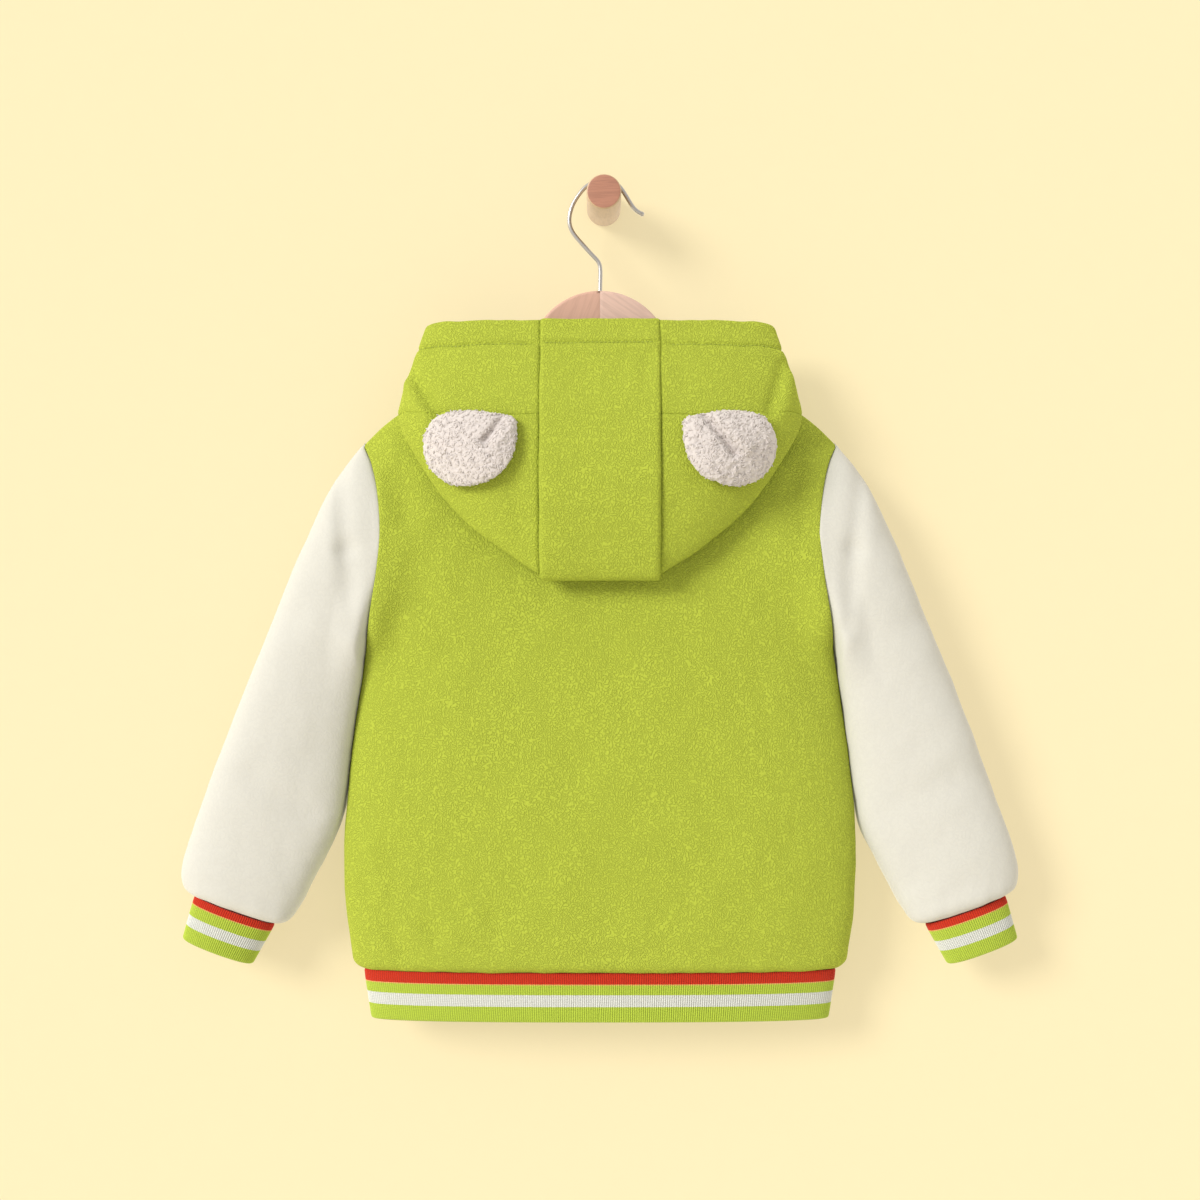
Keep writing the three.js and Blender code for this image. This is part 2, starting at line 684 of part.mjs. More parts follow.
// Half a seam's gap, across the ear seam and along the cloth, towards the face edge. It is wider
// where the seam crosses the hood's sharp crest.
function seamShift(station) {
  const h = 1e-3;
  const half = (HOOD_GAP / 2) * (1 + smooth((station - CREST_STATION) / 0.25));
  const seam = earSeamPoint(Math.min(station + h, SEAM_END)).sub(earSeamPoint(Math.max(station - h, 0)));
  return hoodNormal(station, earSeamAt(station)).cross(seam).setLength(half);
}

const earSeamPoint = (station) => hoodPoint(station, earSeamAt(station));
const seamStations = evenPlaces(earSeamPoint, 0, SEAM_END, 20);

function hoodSideBack() {
  return hoodWall(seamStations, 11, () => 0, earSeamAt, 0, -1);
}

function hoodSideFront() {
  const next = SEAM_END + 0.02; // here the panel reaches down to the neckline
  const beyond = steps(6).map((f) => next + (7 - next) * f);
  const lowest = (s) => (s > SEAM_END ? 0 : earSeamAt(s));
  return hoodWall([...seamStations, ...beyond], 7, lowest, () => 1, 7, 1);
}

// The centre strip's surface: the first meridian, moved out by the strip's rise.
function stripPoint(x, along) {
  const keys = [aboveNeck(backNeck, Math.abs(x)), ...HOOD[0]].map((p) => new THREE.Vector3(x, p.y, p.z));
  const h = 1e-3;
  const point = splineAt(keys, 6 * along);
  const way = splineAt(keys, 6 * Math.min(along + h, 1)).sub(splineAt(keys, 6 * Math.max(along - h, 0)));
  const rise = stripRise(along) * stripShare(Math.abs(x));
  return point.addScaledVector(new THREE.Vector3(0, -way.z, way.y).normalize(), rise);
}

function hoodCentre() {
  const half = STRIP_SHAPE.x;
  const across = [...half.map((x) => -x).reverse(), ...half];
  const grid = steps(22).map((f) => across.map((x) => stripPoint(x, alongOf(1 - 2 * f))));
  const edge = STRIP_EDGE - SEAM_GAP;
  return wall(grid, {
    settle: (q, p) => {
      q.x = Math.abs(p.x) === edge ? p.x : clamp(q.x, -edge, edge);
    },
  });
}

// ---- Ears ----------------------------------------------------------------------------------

// The y of the hood's outer face at a place seen from outside.
function hoodFaceY(x, z) {
  let [station, along] = [2, 0.75];
  const h = 1e-3;
  for (let k = 0; k < 14; k++) {
    const p = hoodPoint(station, along);
    const ds = hoodPoint(station + h, along).sub(p).divideScalar(h);
    const dr = hoodPoint(station, along + h).sub(p).divideScalar(h);
    const [ex, ez] = [x - p.x, z - p.z];
    const det = ds.x * dr.z - dr.x * ds.z;
    station = clamp(station + (ex * dr.z - ez * dr.x) / det, 0, 4.5);
    along = clamp(along + (ez * ds.x - ex * ds.z) / det, 0.55, 0.99);
  }
  return hoodPoint(station, along).y;
}

// An ear lies over the hood's side panels as a soft pad, thinnest at its rim.
function ear(pleat) {
  const rim = new THREE.CatmullRomCurve3(
    EAR_OUTLINE.x.map((x, i) => new THREE.Vector3(x, 0, EAR_OUTLINE.z[i])),
    true,
  );
  const [around, layers] = [24, 10];
  const pointAt = (share, q) => {
    const edge = rim.getPoint(share);
    const reach = Math.max(Math.cos((q * Math.PI) / 2), 0) ** 0.75;
    const x = EAR_MIDDLE.x + (edge.x - EAR_MIDDLE.x) * reach;
    const z = EAR_MIDDLE.z + (edge.z - EAR_MIDDLE.z) * reach;
    const below = clamp((EAR_OUTLINE.z[0] - z) / 50, 0, 1);
    const stand = EAR_STAND + EAR_LEAN * below;
    const front = q < 0 ? troughs([pleat], x, z) * Math.sqrt(-q) : 0;
    return new THREE.Vector3(x, hoodFaceY(x, z) - stand + EAR_HALF * Math.sin((q * Math.PI) / 2) + front, z);
  };
  const skin = new Skin();
  const poles = [-1, 1].map((q) => skin.add(pointAt(0, q)));
  const rings = steps(layers).slice(1, -1).map((f) =>
    Array.from({ length: around }, (_, j) => skin.add(pointAt(j / around, 2 * f - 1))),
  );
  for (let j = 0; j < around; j++) {
    const next = (j + 1) % around;
    for (let i = 0; i + 1 < rings.length; i++) {
      skin.quad(rings[i][j], rings[i + 1][j], rings[i + 1][next], rings[i][next]);
    }
    skin.faces.push(poles[0], rings[0][j], rings[0][next]);
    skin.faces.push(poles[1], rings.at(-1)[next], rings.at(-1)[j]);
  }
  return skin.geometry();
}

// ---- Zip -----------------------------------------------------------------------------------

const ZIP_TOP_Z = -205.5;
const ZIP_SINK = 0.8; // the tape lies this far under the cloth's outer face
const TAPE = 0.7; // the tape's half thickness, beyond its teeth
const TEETH_RISE = 1.2;
const TEETH_REACH = 2.4;
const SLIDER = { z: -217, half: 4.2, length: 12, plate: 1.6, lift: 0.35 };
const BRIDGE = { half: 1.2, window: 2.8, frame: 1.2 };
const TAB = { half: 3.3, length: 20, thick: 1.6, eyeHalf: 2, eyeDepth: 6 };

// The outer face of the closed front at the zip.
function zipFaceY(z) {
  if (z >= BODY_END_Z) return frontPoint(ZIP_EDGE, z).y;
  const level = clamp((HEM.top.z - z) / (HEM.top.z - HEM.end.z), 0, 1);
  return MID_Y + HEM.top.front + (HEM.end.front - HEM.top.front) * level;
}

// Half a zip: its tape with the closed row of teeth as a raised bar.
function zipHalf() {
  const [inner, outer] = [SEAM_GAP / 2, ZIP_EDGE - SEAM_GAP];
  const section = [
    [inner, 0],
    [inner, -TEETH_RISE],
    [TEETH_REACH, -TEETH_RISE],
    [TEETH_REACH + 0.2, -TAPE],
    [outer, -TAPE],
    [outer, TAPE],
    [TEETH_REACH + 0.2, TAPE],
    [TEETH_REACH, TEETH_RISE],
    [inner, TEETH_RISE],
  ];
  const down = steps(18).map((f) => ZIP_TOP_Z + (HEM.end.z - ZIP_TOP_Z) * f);
  return loft(
    down.map((z) => section.map(([x, off]) => new THREE.Vector3(x, zipFaceY(z) - ZIP_SINK + off, z))),
  );
}

const SLIDER_BACK_Y = zipFaceY(SLIDER.z - SLIDER.length / 2) - ZIP_SINK + TEETH_RISE + SLIDER.lift;
const PIVOT_Y = SLIDER_BACK_Y + SLIDER.plate + BRIDGE.window / 2;

// A slab whose outline lies across and up, and whose thickness runs along Y.
function slab(outline, thickness, y) {
  const made = new THREE.ExtrudeGeometry(outline, { depth: thickness, bevelEnabled: false, curveSegments: 2 });
  return made.rotateX(Math.PI / 2).translate(0, y + thickness, 0);
}

function roundedBox(half, low, high, radius) {
  const shape = new THREE.Shape();
  shape.absarc(half - radius, low + radius, radius, -Math.PI / 2, 0);
  shape.absarc(half - radius, high - radius, radius, 0, Math.PI / 2);
  shape.absarc(radius - half, high - radius, radius, Math.PI / 2, Math.PI);
  shape.absarc(radius - half, low + radius, radius, Math.PI, 1.5 * Math.PI);
  return shape;
}

// The slider's body with the small bridge that holds the pull tab.
function slider() {
  const plate = slab(
    roundedBox(SLIDER.half, SLIDER.z - SLIDER.length / 2, SLIDER.z + SLIDER.length / 2, 1.8),
    SLIDER.plate,
    SLIDER_BACK_Y,
  );
  const [hole, frame] = [BRIDGE.window / 2, BRIDGE.frame];
  const block = new THREE.BoxGeometry(2 * BRIDGE.half, BRIDGE.window + frame + 0.4, BRIDGE.window + 2 * frame);
  block.translate(0, PIVOT_Y + (frame - 0.4) / 2, SLIDER.z);
  const window = new THREE.BoxGeometry(4 * BRIDGE.half, 2 * hole, 2 * hole);
  window.translate(0, PIVOT_Y, SLIDER.z);
  return geometryOf(solid(plate).add(solid(block).subtract(solid(window))));
}

// The pull tab hangs from a bar through the bridge.
function pullTab() {
  const top = SLIDER.z + TAB.thick / 2;
  const outline = roundedBox(TAB.half, top - TAB.length, top, 0.7);
  const [eyeTop, eyeEnd] = [top - TAB.thick, SLIDER.z - TAB.eyeDepth];
  const eye = new THREE.Path();
  eye.moveTo(-TAB.eyeHalf, eyeTop);
  eye.lineTo(TAB.eyeHalf, eyeTop);
  eye.lineTo(TAB.eyeHalf, eyeEnd);
  eye.lineTo(-TAB.eyeHalf, eyeEnd);
  eye.closePath();
  outline.holes.push(eye);
  return slab(outline, TAB.thick, PIVOT_Y - TAB.thick / 2);
}

// ---- Hanger, hook and wall peg -------------------------------------------------------------

const HUMP = { radius: 56, z: -128, sweep: 1.6 };
const ARM = { from: 82, to: 128, drop: 5.4, height: 24, tip: 9 };
const HANGER_EDGE = 2.5; // bevel

function hanger() {
  const armTop = (x) => shoulderZ(x) - ARM.drop;
  const outline = steps(10).map((f) => [
    HUMP.radius * Math.sin(f * HUMP.sweep),
    HUMP.z + HUMP.radius * Math.cos(f * HUMP.sweep),
  ]);
  outline.push([HUMP.radius + 3, NECK_Z - 3], [NECK_X - 10, NECK_Z - ARM.drop - 4]);
  for (const f of steps(5)) {
    const x = ARM.from + (ARM.to - ARM.from) * f;
    outline.push([x, armTop(x)]);
  }
  const tipZ = armTop(ARM.to) - ARM.tip;
  for (const angle of [1.1, 0.5, -0.2, -0.9, -1.5]) {
    outline.push([ARM.to + ARM.tip * Math.cos(angle), tipZ + ARM.tip * Math.sin(angle)]);
  }
  outline.push([ARM.from + 20, armTop(ARM.from + 20) - ARM.height], [40, -160], [0, -158]);
  const mirrored = outline.slice(1, -1).reverse().map(([x, z]) => [-x, z]);
  const shape = new THREE.Shape([...outline, ...mirrored].map((p) => new THREE.Vector2(...p)));
  const made = new THREE.ExtrudeGeometry(shape, {
    depth: HANGER_THICK - 2 * HANGER_EDGE,
    bevelThickness: HANGER_EDGE,
    bevelSize: HANGER_EDGE,
    bevelOffset: -HANGER_EDGE,
    bevelSegments: 1,
  });
  made.rotateX(Math.PI / 2).translate(0, HANGER_Y + HANGER_THICK / 2 - HANGER_EDGE, 0);
  const bore = new THREE.CylinderGeometry(HANGER_BORE, HANGER_BORE, 40, 12);
  bore.rotateX(Math.PI / 2).translate(0, HANGER_Y, HUMP.z + HUMP.radius);
  return geometryOf(solid(made).subtract(solid(bore)));
}

function hook() {
  const path = new THREE.CatmullRomCurve3(
    HOOK_PATH.x.map((x, i) => new THREE.Vector3(x - HANG_X, HANGER_Y, HOOK_PATH.z[i])),
    false,
    "centripetal",
  );
  const section = new THREE.Shape();
  section.absarc(0, 0, WIRE_RADIUS, 0, 2 * Math.PI);
  const wire = new THREE.ExtrudeGeometry(section, { extrudePath: path, steps: 36, curveSegments: 4 });
  const ball = new THREE.SphereGeometry(1.25 * WIRE_RADIUS, 10, 8);
  ball.translate(...path.getPoint(1).toArray());
  return geometryOf(solid(wire).add(solid(ball)));
}

function wallPeg() {
  const edge = 1.5;
  const profile = [
    [0, 0],
    [PEG_RADIUS, 0],
    [PEG_RADIUS, PEG_LENGTH - edge],
    [PEG_RADIUS - 0.45 * edge, PEG_LENGTH - 0.45 * edge],
    [PEG_RADIUS - edge, PEG_LENGTH],
    [0, PEG_LENGTH],
  ];
  const made = new THREE.LatheGeometry(profile.map(([r, y]) => new THREE.Vector2(r, y)), 32);
  return made.rotateX(Math.PI);
}

// ---- The part ------------------------------------------------------------------------------

function material(color, roughness, metalness = 0) {
  return new THREE.MeshStandardMaterial({ color, roughness, metalness });
}

function piece(name, geometry, finish, mirrored = false) {
  const mesh = new THREE.Mesh(geometry, finish);
  mesh.name = name;
  if (mirrored) mesh.scale.x = -1;
  return mesh;
}

function pair(name, geometry, finish) {
  return [piece(name + "_right", geometry, finish), piece(name + "_left", geometry, finish, true)];
}

const fleece = material(LIME, 0.95);
const sleeveFleece = material(CREAM, 0.95);
const sherpa = material(SHERPA, 1);
const rib = material(RIB_GREEN, 0.9);
const wood = material(WOOD, 0.55);
const steel = material(STEEL, 0.3, 1);
const teeth = material(TEETH, 0.5);

const jacket = new THREE.Group();
jacket.position.x = HANG_X;
jacket.add(
  piece("back", backPanel(), fleece),
  ...pair("front", frontPanel(), fleece),
  ...pair("sleeve", sleeve(), sleeveFleece),
  ...pair("cuff", cuff(), rib),
  piece("hem_band", hemBand(), rib),
  piece("hood_centre", hoodCentre(), fleece),
  ...pair("hood_side_back", hoodSideBack(), fleece),
  ...pair("hood_side_front", hoodSideFront(), fleece),
  piece("ear_right", ear(EAR_PLEATS.right), sherpa),
  piece("ear_left", ear(EAR_PLEATS.left), sherpa, true),
  ...pair("zip", zipHalf(), teeth),
  piece("zip_slider", slider(), teeth),
  piece("zip_pull", pullTab(), teeth),
  piece("hanger", hanger(), wood),
  piece("hanger_hook", hook(), steel),
);

const part = new THREE.Group();
part.add(jacket, piece("wall_peg", wallPeg(), material(PEG_WOOD, 0.5)));

export default part;
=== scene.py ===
"""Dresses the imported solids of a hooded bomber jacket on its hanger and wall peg.

Lengths are in millimetres while a shape is worked out, and metres in every mesh. Shapes are
worked out round the jacket's own centre line, which hangs a little left of the peg.
"""

import math

import bmesh
import bpy
import numpy as np
from bpy.props import FloatProperty, FloatVectorProperty, IntProperty, PointerProperty
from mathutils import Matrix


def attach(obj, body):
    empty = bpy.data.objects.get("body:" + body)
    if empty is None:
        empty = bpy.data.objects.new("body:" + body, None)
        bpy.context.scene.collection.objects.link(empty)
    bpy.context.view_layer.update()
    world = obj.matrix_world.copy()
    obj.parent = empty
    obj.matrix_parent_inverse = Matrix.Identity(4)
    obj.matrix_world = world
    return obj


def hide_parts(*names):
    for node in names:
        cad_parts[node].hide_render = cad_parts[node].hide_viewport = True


bl_info = {
    "name": "Hooded Bomber Jacket",
    "version": (1, 0, 0),
    "blender": (4, 5, 0),
    "location": "3D Viewport > Sidebar > Jacket",
    "description": "Sews a hooded bomber jacket over its solids and hangs it on a wall peg",
    "category": "Add Mesh",
}

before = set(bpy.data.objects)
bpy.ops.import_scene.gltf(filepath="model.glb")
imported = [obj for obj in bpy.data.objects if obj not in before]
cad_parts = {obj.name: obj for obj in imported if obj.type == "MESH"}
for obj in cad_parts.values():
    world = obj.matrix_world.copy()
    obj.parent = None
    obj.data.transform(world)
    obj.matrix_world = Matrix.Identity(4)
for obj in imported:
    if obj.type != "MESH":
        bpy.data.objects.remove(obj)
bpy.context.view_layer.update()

# ---- Sizes -----------------------------------------------------------------------------------

MM = 0.001
HANG = np.array([-3.0, 0.0, 0.0])  # from the peg's middle to the jacket's centre line
MID_Y = -34.0  # the plane of the side seams
SEAM = 0.3
NECK_X = 78.0
TIP_X, TIP_Z = 185.5, -193.0
UNDERARM_Z = -353.5
ARMHOLE_BACK, ARMHOLE_FRONT = 28.0, 20.0
SHOULDER_ROUND = 60.0
SIDE_ROUND = 2.6
BODY_END_Z = -603.0
ZIP_EDGE = 5.8
SLEEVE_GAP = 0.7
SLEEVE_FRONT = 0.78
SLEEVE_TUCK = 1.4  # how far a sleeve runs in under the body's edge
HOOD_END_X = 7.0
STRIP_EDGE = 46.0
SEAM_END = 4.65  # the station where the ear seam runs into the neckline
NECK_STATION = 3.0
EAR_HALF, EAR_STAND, EAR_LEAN = 6.6, 5.5, 3.5
EAR_MIDDLE = (98.0, -200.0)
TUFTS = 1700
HANGER_Y = -35.2
PEG_RADIUS, PEG_LENGTH = 13.5, 65.0
PEG_EDGE, PEG_SIDES = 1.6, 96  # the rounding of its front edge, and the facets round it
HEM_HEIGHT, CUFF_HEIGHT = 38.7, 36.2
STRIP_HALF = 45.7
HANGER_HALF = 5.0  # half the hanger's thickness
WIRE_RADIUS, WIRE_TIP, WIRE_SIDES = 1.7, 2.0, 20
STITCH_RADIUS = 0.45
MIRROR = np.array([-1.0, 1.0, 1.0])


def table(names, *rows):
    """Rows of numbers under named columns."""
    return dict(zip(names.split(), np.array(rows, float).T))


BODY = table(
    "z half back front",
    (-193, 185.5, 26, 18),
    (-209, 178.2, 27, 19.5),
    (-233, 172.5, 28.5, 21),
    (-262, 170, 30, 23),
    (-291, 172.4, 31, 24.5),
    (-326, 178, 32, 25.5),
    (-361, 183.7, 33, 26),
    (-408, 191.5, 33.5, 26.5),
    (-455, 197, 34, 27),
    (-502, 200.5, 34.5, 27),
    (-548, 199.7, 34.5, 27),
    (-578, 196.5, 33, 26),
    (-595, 192, 29.5, 23.5),
    (-603, 185.6, 24, 20),
)
SHOULDER = table(
    "x z",
    (78, -137),
    (110, -148.5),
    (140, -160),
    (156, -167.5),
    (170, -178),
    (180, -187.5),
    (185.5, -193),
)
BACK_NECK = table("x z", (0, -149), (40, -148), (62, -144), (78, -137))
FRONT_NECK = table("x z", (0, -205), (30, -200), (55, -180), (70, -157), (78, -137))
SLEEVE = table(
    "outerX outerZ innerX innerZ outerY innerY depth",
    (185.6, -192, 182.9, -355, -34, -34, 28),
    (207.5, -220.9, 186.6, -370.7, -36, -33, 30),
    (224.6, -256, 189.6, -388.6, -38, -31, 30),
    (244.9, -302.8, 193, -410.4, -40, -29, 29),
    (263.6, -349.6, 195.9, -433.8, -41, -28, 28),
    (282.4, -396.4, 198.8, -460.4, -41, -28, 27),
    (300.3, -443.2, 204, -489.2, -40, -29, 26),
    (314.3, -482.2, 216.8, -517.3, -39, -30, 25),
    (324.5, -511, 228.5, -539.9, -38, -31, 24),
    (327.6, -526.7, 234.8, -552.4, -37, -32, 23),
    (324.5, -537.6, 243.4, -562.5, -36, -34, 20),
    (318.2, -544.6, 254.3, -567.2, -35, -35, 16),
)
# Soft troughs: from one point to another, half width and depth.
BACK_FOLDS = table(
    "x1 z1 x2 z2 width depth",
    (-158, -222, -150, -250, 11, 3.4),
    (-140, -292, -136, -312, 14, 2.4),
    (-160, -330, -166, -352, 9, 2.2),
    (152, -222, 158, -262, 11, 2.8),
    (120, -300, 134, -318, 14, 1.6),
    (-168, -556, -152, -588, 8, 2.0),
    (-132, -566, -126, -574, 7, 1.6),
    (-84, -560, -78, -568, 8, 1.4),
    (-176, -505, -168, -560, 7, -1.2),
    (60, -452, 96, -470, 22, 1.2),
    (-60, -420, -20, -440, 24, 1.0),
)
SLEEVE_FOLDS = table(
    "x1 z1 x2 z2 width depth",
    (204, -213, 196, -275, 8, 3.2),
    (196, -275, 190, -335, 8, 2.6),
    (240, -330, 262, -318, 14, 1.6),
    (226, -478, 268, -452, 12, 1.5),
)
HOOD_FOLDS_RIGHT = table(
    "x1 z1 x2 z2 width depth",
    (141, -134, 130, -170, 5, 2.6),
    (149, -140, 139, -172, 5, -1.6),
    (70, -110, 100, -128, 9, 0.9),
    (60, -240, 84, -214, 9, 1.2),
)
HOOD_FOLDS_LEFT = table(
    "x1 z1 x2 z2 width depth",
    (146, -138, 123, -174, 4.5, 3.2),
    (152, -143, 131, -177, 4.5, -2.0),
    (58, -262, 66, -232, 8, 1.2),
    (88, -116, 118, -122, 9, 0.8),
)
STRIP_FOLDS = table(
    "x1 z1 x2 z2 width depth",
    (-40, -128, 10, -150, 10, 1.0),
    (-20, -122, 40, -116, 6, -0.5),
    (38, -128, 34, -150, 6, 0.8),
)
# The hood's meridians, from the strip's seam round to the centre front.
HOOD = np.array(
    [  # crest, against the back, fold, outer face, ear level, face edge
        [[46, -55, -135], [46, -66, -207], [46, -82, -294.5], [46, -100, -237], [46, -93, -172], [46, -66, -99.5]],
        [[60, -52, -133], [72, -64, -202], [80, -79, -272.5], [77, -98, -227], [75, -92, -172], [72, -64, -99.5]],
        [[72, -49, -130], [92, -61, -192], [109, -74, -248], [105, -92, -212], [102, -88, -170], [98, -62, -99.5]],
        [[86, -39, -126], [112, -56, -177], [134, -69, -215], [131, -83, -192], [127, -79, -162], [122, -57, -100]],
        [[90, -27, -128], [128, -43, -150], [154, -57, -175], [152, -65, -162], [146, -61, -138], [135, -48, -103]],
        [[82, -15, -145], [112, -20, -136], [140, -33, -150], [143, -37, -139], [134, -35, -124], [120, -31, -110]],
        [[58, -9, -175], [80, -8, -160], [98, -13, -150], [104, -16, -144], [100, -17, -136], [92, -17, -128]],
        [[9, -10, -198], [12, -8.5, -193], [14, -8, -189], [15, -8, -185], [15, -8.5, -182], [15, -10, -178]],
    ],
    float,
)
HOOD_KEYS = HOOD.shape[1]
EAR_SEAM = table("station along", (0, 0.83), (2, 0.82), (3, 0.79), (4, 0.58), (4.4, 0.3), (4.65, 0.04))
STRIP_RISE = table("along rise", (0, 0), (0.3, 0), (0.42, 2), (0.5, 5), (0.6, 5.2), (0.83, 3), (1, 1.4))
STRIP_SHAPE = table("x share", (14, 1), (41, 1), (44.4, 0.72), (45.7, 0))
EAR_OUTLINE = table(
    "x z",
    (64, -178),
    (62.4, -190),
    (65.5, -207),
    (74, -219.5),
    (87, -226.5),
    (104.5, -229),
    (119, -224),
    (130, -213),
    (134, -199),
    (132, -187),
    (125, -177),
    (113, -172.5),
    (97.5, -171.5),
    (80, -174),
)
EAR_PLEATS = {
    "right": table(
        "x1 z1 x2 z2 width depth", (77, -174, 101, -204, 3.4, 7.5), (88, -174, 110, -200, 6, -3.6)
    ),
    "left": table("x1 z1 x2 z2 width depth", (73, -178, 86, -195, 3.4, 6), (66, -184, 77, -199, 5, -2.6)),
}
CUFF = {
    "top": {"outer": (317.9, -36, -545.6), "inner": (255, -36, -568.3), "depth": 15.5},
    "end": {"outer": (327.6, -35, -579.7), "inner": (273, -35, -600), "depth": 15},
}
HEM = table("z half back front", (-603.3, 185.3, 23.7, 19.7), (-642, 179.4, 22, 18.5))
HOOK_PATH = table(
    "x z",
    (-3, -91.6),
    (-3, -72),
    (-3, -51),
    (-7.8, -45),
    (-23, -28),
    (-27, -20),
    (-27.2, -14),
    (-26, -8),
    (-22.4, 0),
    (-13, 11.3),
    (0, 15.6),
    (11, 12),
    (18.5, 1.3),
    (22.3, -5),
    (25, -8.6),
    (30, -11.2),
)
# Stripes of the ribs, by millimetres from their seam: where each begins.
HEM_STRIPES = table("begin stripe", (0, 0), (8.7, 3), (9.4, 1), (17.0, 2), (26.2, 1))
CUFF_STRIPES = table("begin stripe", (0, 0), (6.0, 3), (6.7, 1), (15.5, 2), (24.1, 1))


class JacketSizes(bpy.types.PropertyGroup):
    """The make of the cloth and its seams."""

    cloth: FloatProperty(
        name="Cloth", description="Thickness of the fleece", default=0.0025, unit="LENGTH"
    )
    rib_wall: FloatProperty(
        name="Rib wall", description="Thickness of the knitted rib", default=0.0022, unit="LENGTH"
    )
    rib_pitch: FloatProperty(
        name="Rib pitch", description="From one knitted rib to the next", default=0.0017, unit="LENGTH"
    )
    rib_rise: FloatProperty(
        name="Rib rise", description="Height of a knitted rib", default=0.0007, unit="LENGTH"
    )
    hood_hem: FloatProperty(
        name="Hood hem", description="Depth of the hem round the hood's opening", default=0.021, unit="LENGTH"
    )
    stitch: FloatProperty(
        name="Stitch", description="Length from one stitch to the next", default=0.0032, unit="LENGTH"
    )
    tooth_pitch: FloatProperty(
        name="Tooth pitch",
        description="From one zip tooth to the next on a tape",
        default=0.0025,
        unit="LENGTH",
    )
    curl: FloatProperty(
        name="Curl", description="Size of a curl of the sherpa pile", default=0.0036, unit="LENGTH"
    )
    detail: IntProperty(
        name="Detail", description="Cells of the finest grids, in hundreds", default=15, min=4, max=24
    )


def colour(name, description, value):
    return FloatVectorProperty(
        name=name, description=description, subtype="COLOR", size=4, min=0, max=1, default=(*value, 1)
    )


class JacketColours(bpy.types.PropertyGroup):
    """The colours of the cloths, woods and metals."""

    lime: colour("Lime fleece", "Body and hood", (0.35, 0.406, 0.045))
    cream: colour("Cream fleece", "Sleeves", (0.54, 0.527, 0.482))
    sherpa: colour("Sherpa", "Ears", (0.58, 0.52, 0.495))
    rib_red: colour("Rib red", "First stripe under a seam", (0.58, 0.03, 0.008))
    rib_green: colour("Rib green", "Second and last stripe", (0.45, 0.575, 0.055))
    rib_white: colour("Rib white", "Third stripe", (0.70, 0.71, 0.66))
    rib_edge: colour("Rib edge", "Thin line under the first stripe", (0.75, 0.42, 0.13))
    zip_green: colour("Zip", "Teeth, slider and pull tab", (0.34, 0.53, 0.03))
    hanger: colour("Hanger wood", "The hanger's left half", (0.553, 0.328, 0.246))
    hanger_pale: colour("Pale hanger wood", "The hanger's right half", (0.62, 0.42, 0.344))
    peg: colour("Peg wood", "The peg's side", (0.51, 0.36, 0.215))
    peg_end: colour("Peg end", "The peg's round face", (0.37, 0.165, 0.105))
    steel: colour("Steel", "The hook's wire", (0.50, 0.475, 0.45))
    wall: colour("Wall", "The wall behind", (0.338, 0.290, 0.181))
    floor: colour("Floor", "The floor below", (0.8, 0.78, 0.72))


# ---- Curves and grids ------------------------------------------------------------------------


def curve_of(columns, start, end):
    """A smooth curve through two columns of a table, flat beyond its ends."""
    a, b = columns[start], columns[end]
    if a[-1] < a[0]:
        a, b = a[::-1], b[::-1]
    low = np.maximum(np.arange(len(a)) - 1, 0)
    high = np.minimum(np.arange(len(a)) + 1, len(a) - 1)
    slope = (b[high] - b[low]) / (a[high] - a[low])

    def at(value):
        value = np.clip(value, a[0], a[-1])
        i = np.clip(np.searchsorted(a, value, side="right") - 1, 0, len(a) - 2)
        h = a[i + 1] - a[i]
        t = (value - a[i]) / h
        rise = b[i] * (2 * t**3 - 3 * t**2 + 1) + b[i + 1] * (3 * t**2 - 2 * t**3)
        return rise + h * (slope[i] * (t**3 - 2 * t**2 + t) + slope[i + 1] * (t**3 - t**2))

    return at


def spline_at(points, t):
    """Places at t on an even Catmull-Rom spline. Points may hold a set for each place."""
    points, t = np.asarray(points, float), np.asarray(t, float)
    ends = [2 * points[:1] - points[1:2], points, 2 * points[-1:] - points[-2:-1]]
    spread = np.concatenate(ends)
    i = np.clip(np.floor(t).astype(int), 0, len(points) - 2)
    u = (t - i)[:, None]
    own = np.arange(len(t))
    p, q, r, s = (spread[i + k, own] if points.ndim == 3 else spread[i + k] for k in range(4))
    first = p * (-u + 2 * u**2 - u**3) + q * (2 - 5 * u**2 + 3 * u**3)
    return (first + r * (u + 4 * u**2 - 3 * u**3) + s * (u**3 - u**2)) / 2


def smooth(v):
    v = np.clip(v, 0, 1)
    return v * v * (3 - 2 * v)


def signed_power(v, exponent):
    return np.sign(v) * np.abs(v) ** exponent


def troughs(folds, x, z):
    """How deep the soft troughs of a table lie at places on the cloth."""
    depth = np.zeros_like(x)
    for x1, z1, x2, z2, width, deep in zip(*folds.values()):
        dx, dz = x2 - x1, z2 - z1
        along = np.clip(((x - x1) * dx + (z - z1) * dz) / (dx * dx + dz * dz), 0, 1)
        away = np.hypot(x - x1 - along * dx, z - z1 - along * dz)
        depth += deep * np.exp(-((away / width) ** 2))
    return depth


def other_side(folds):
    """A table of troughs for the other side of the jacket."""
    return {**folds, "x1": -folds["x1"], "x2": -folds["x2"]}


def ripple(points, size, seed, waves=14):
    """Smooth unevenness from -1 to 1 with swells about as far apart as size, in millimetres."""
    draw = np.random.default_rng(seed)
    ways = draw.normal(size=(waves, 3))
    ways /= np.linalg.norm(ways, axis=1)[:, None]
    lengths = size * draw.uniform(0.7, 1.7, waves)
    phases = draw.uniform(0, 2 * math.pi, waves)
    total = sum(
        np.sin(points @ (way * 2 * math.pi / length) + phase)
        for way, length, phase in zip(ways, lengths, phases)
    )
    return np.clip(total / math.sqrt(2 * waves), -1.4, 1.4) / 1.4


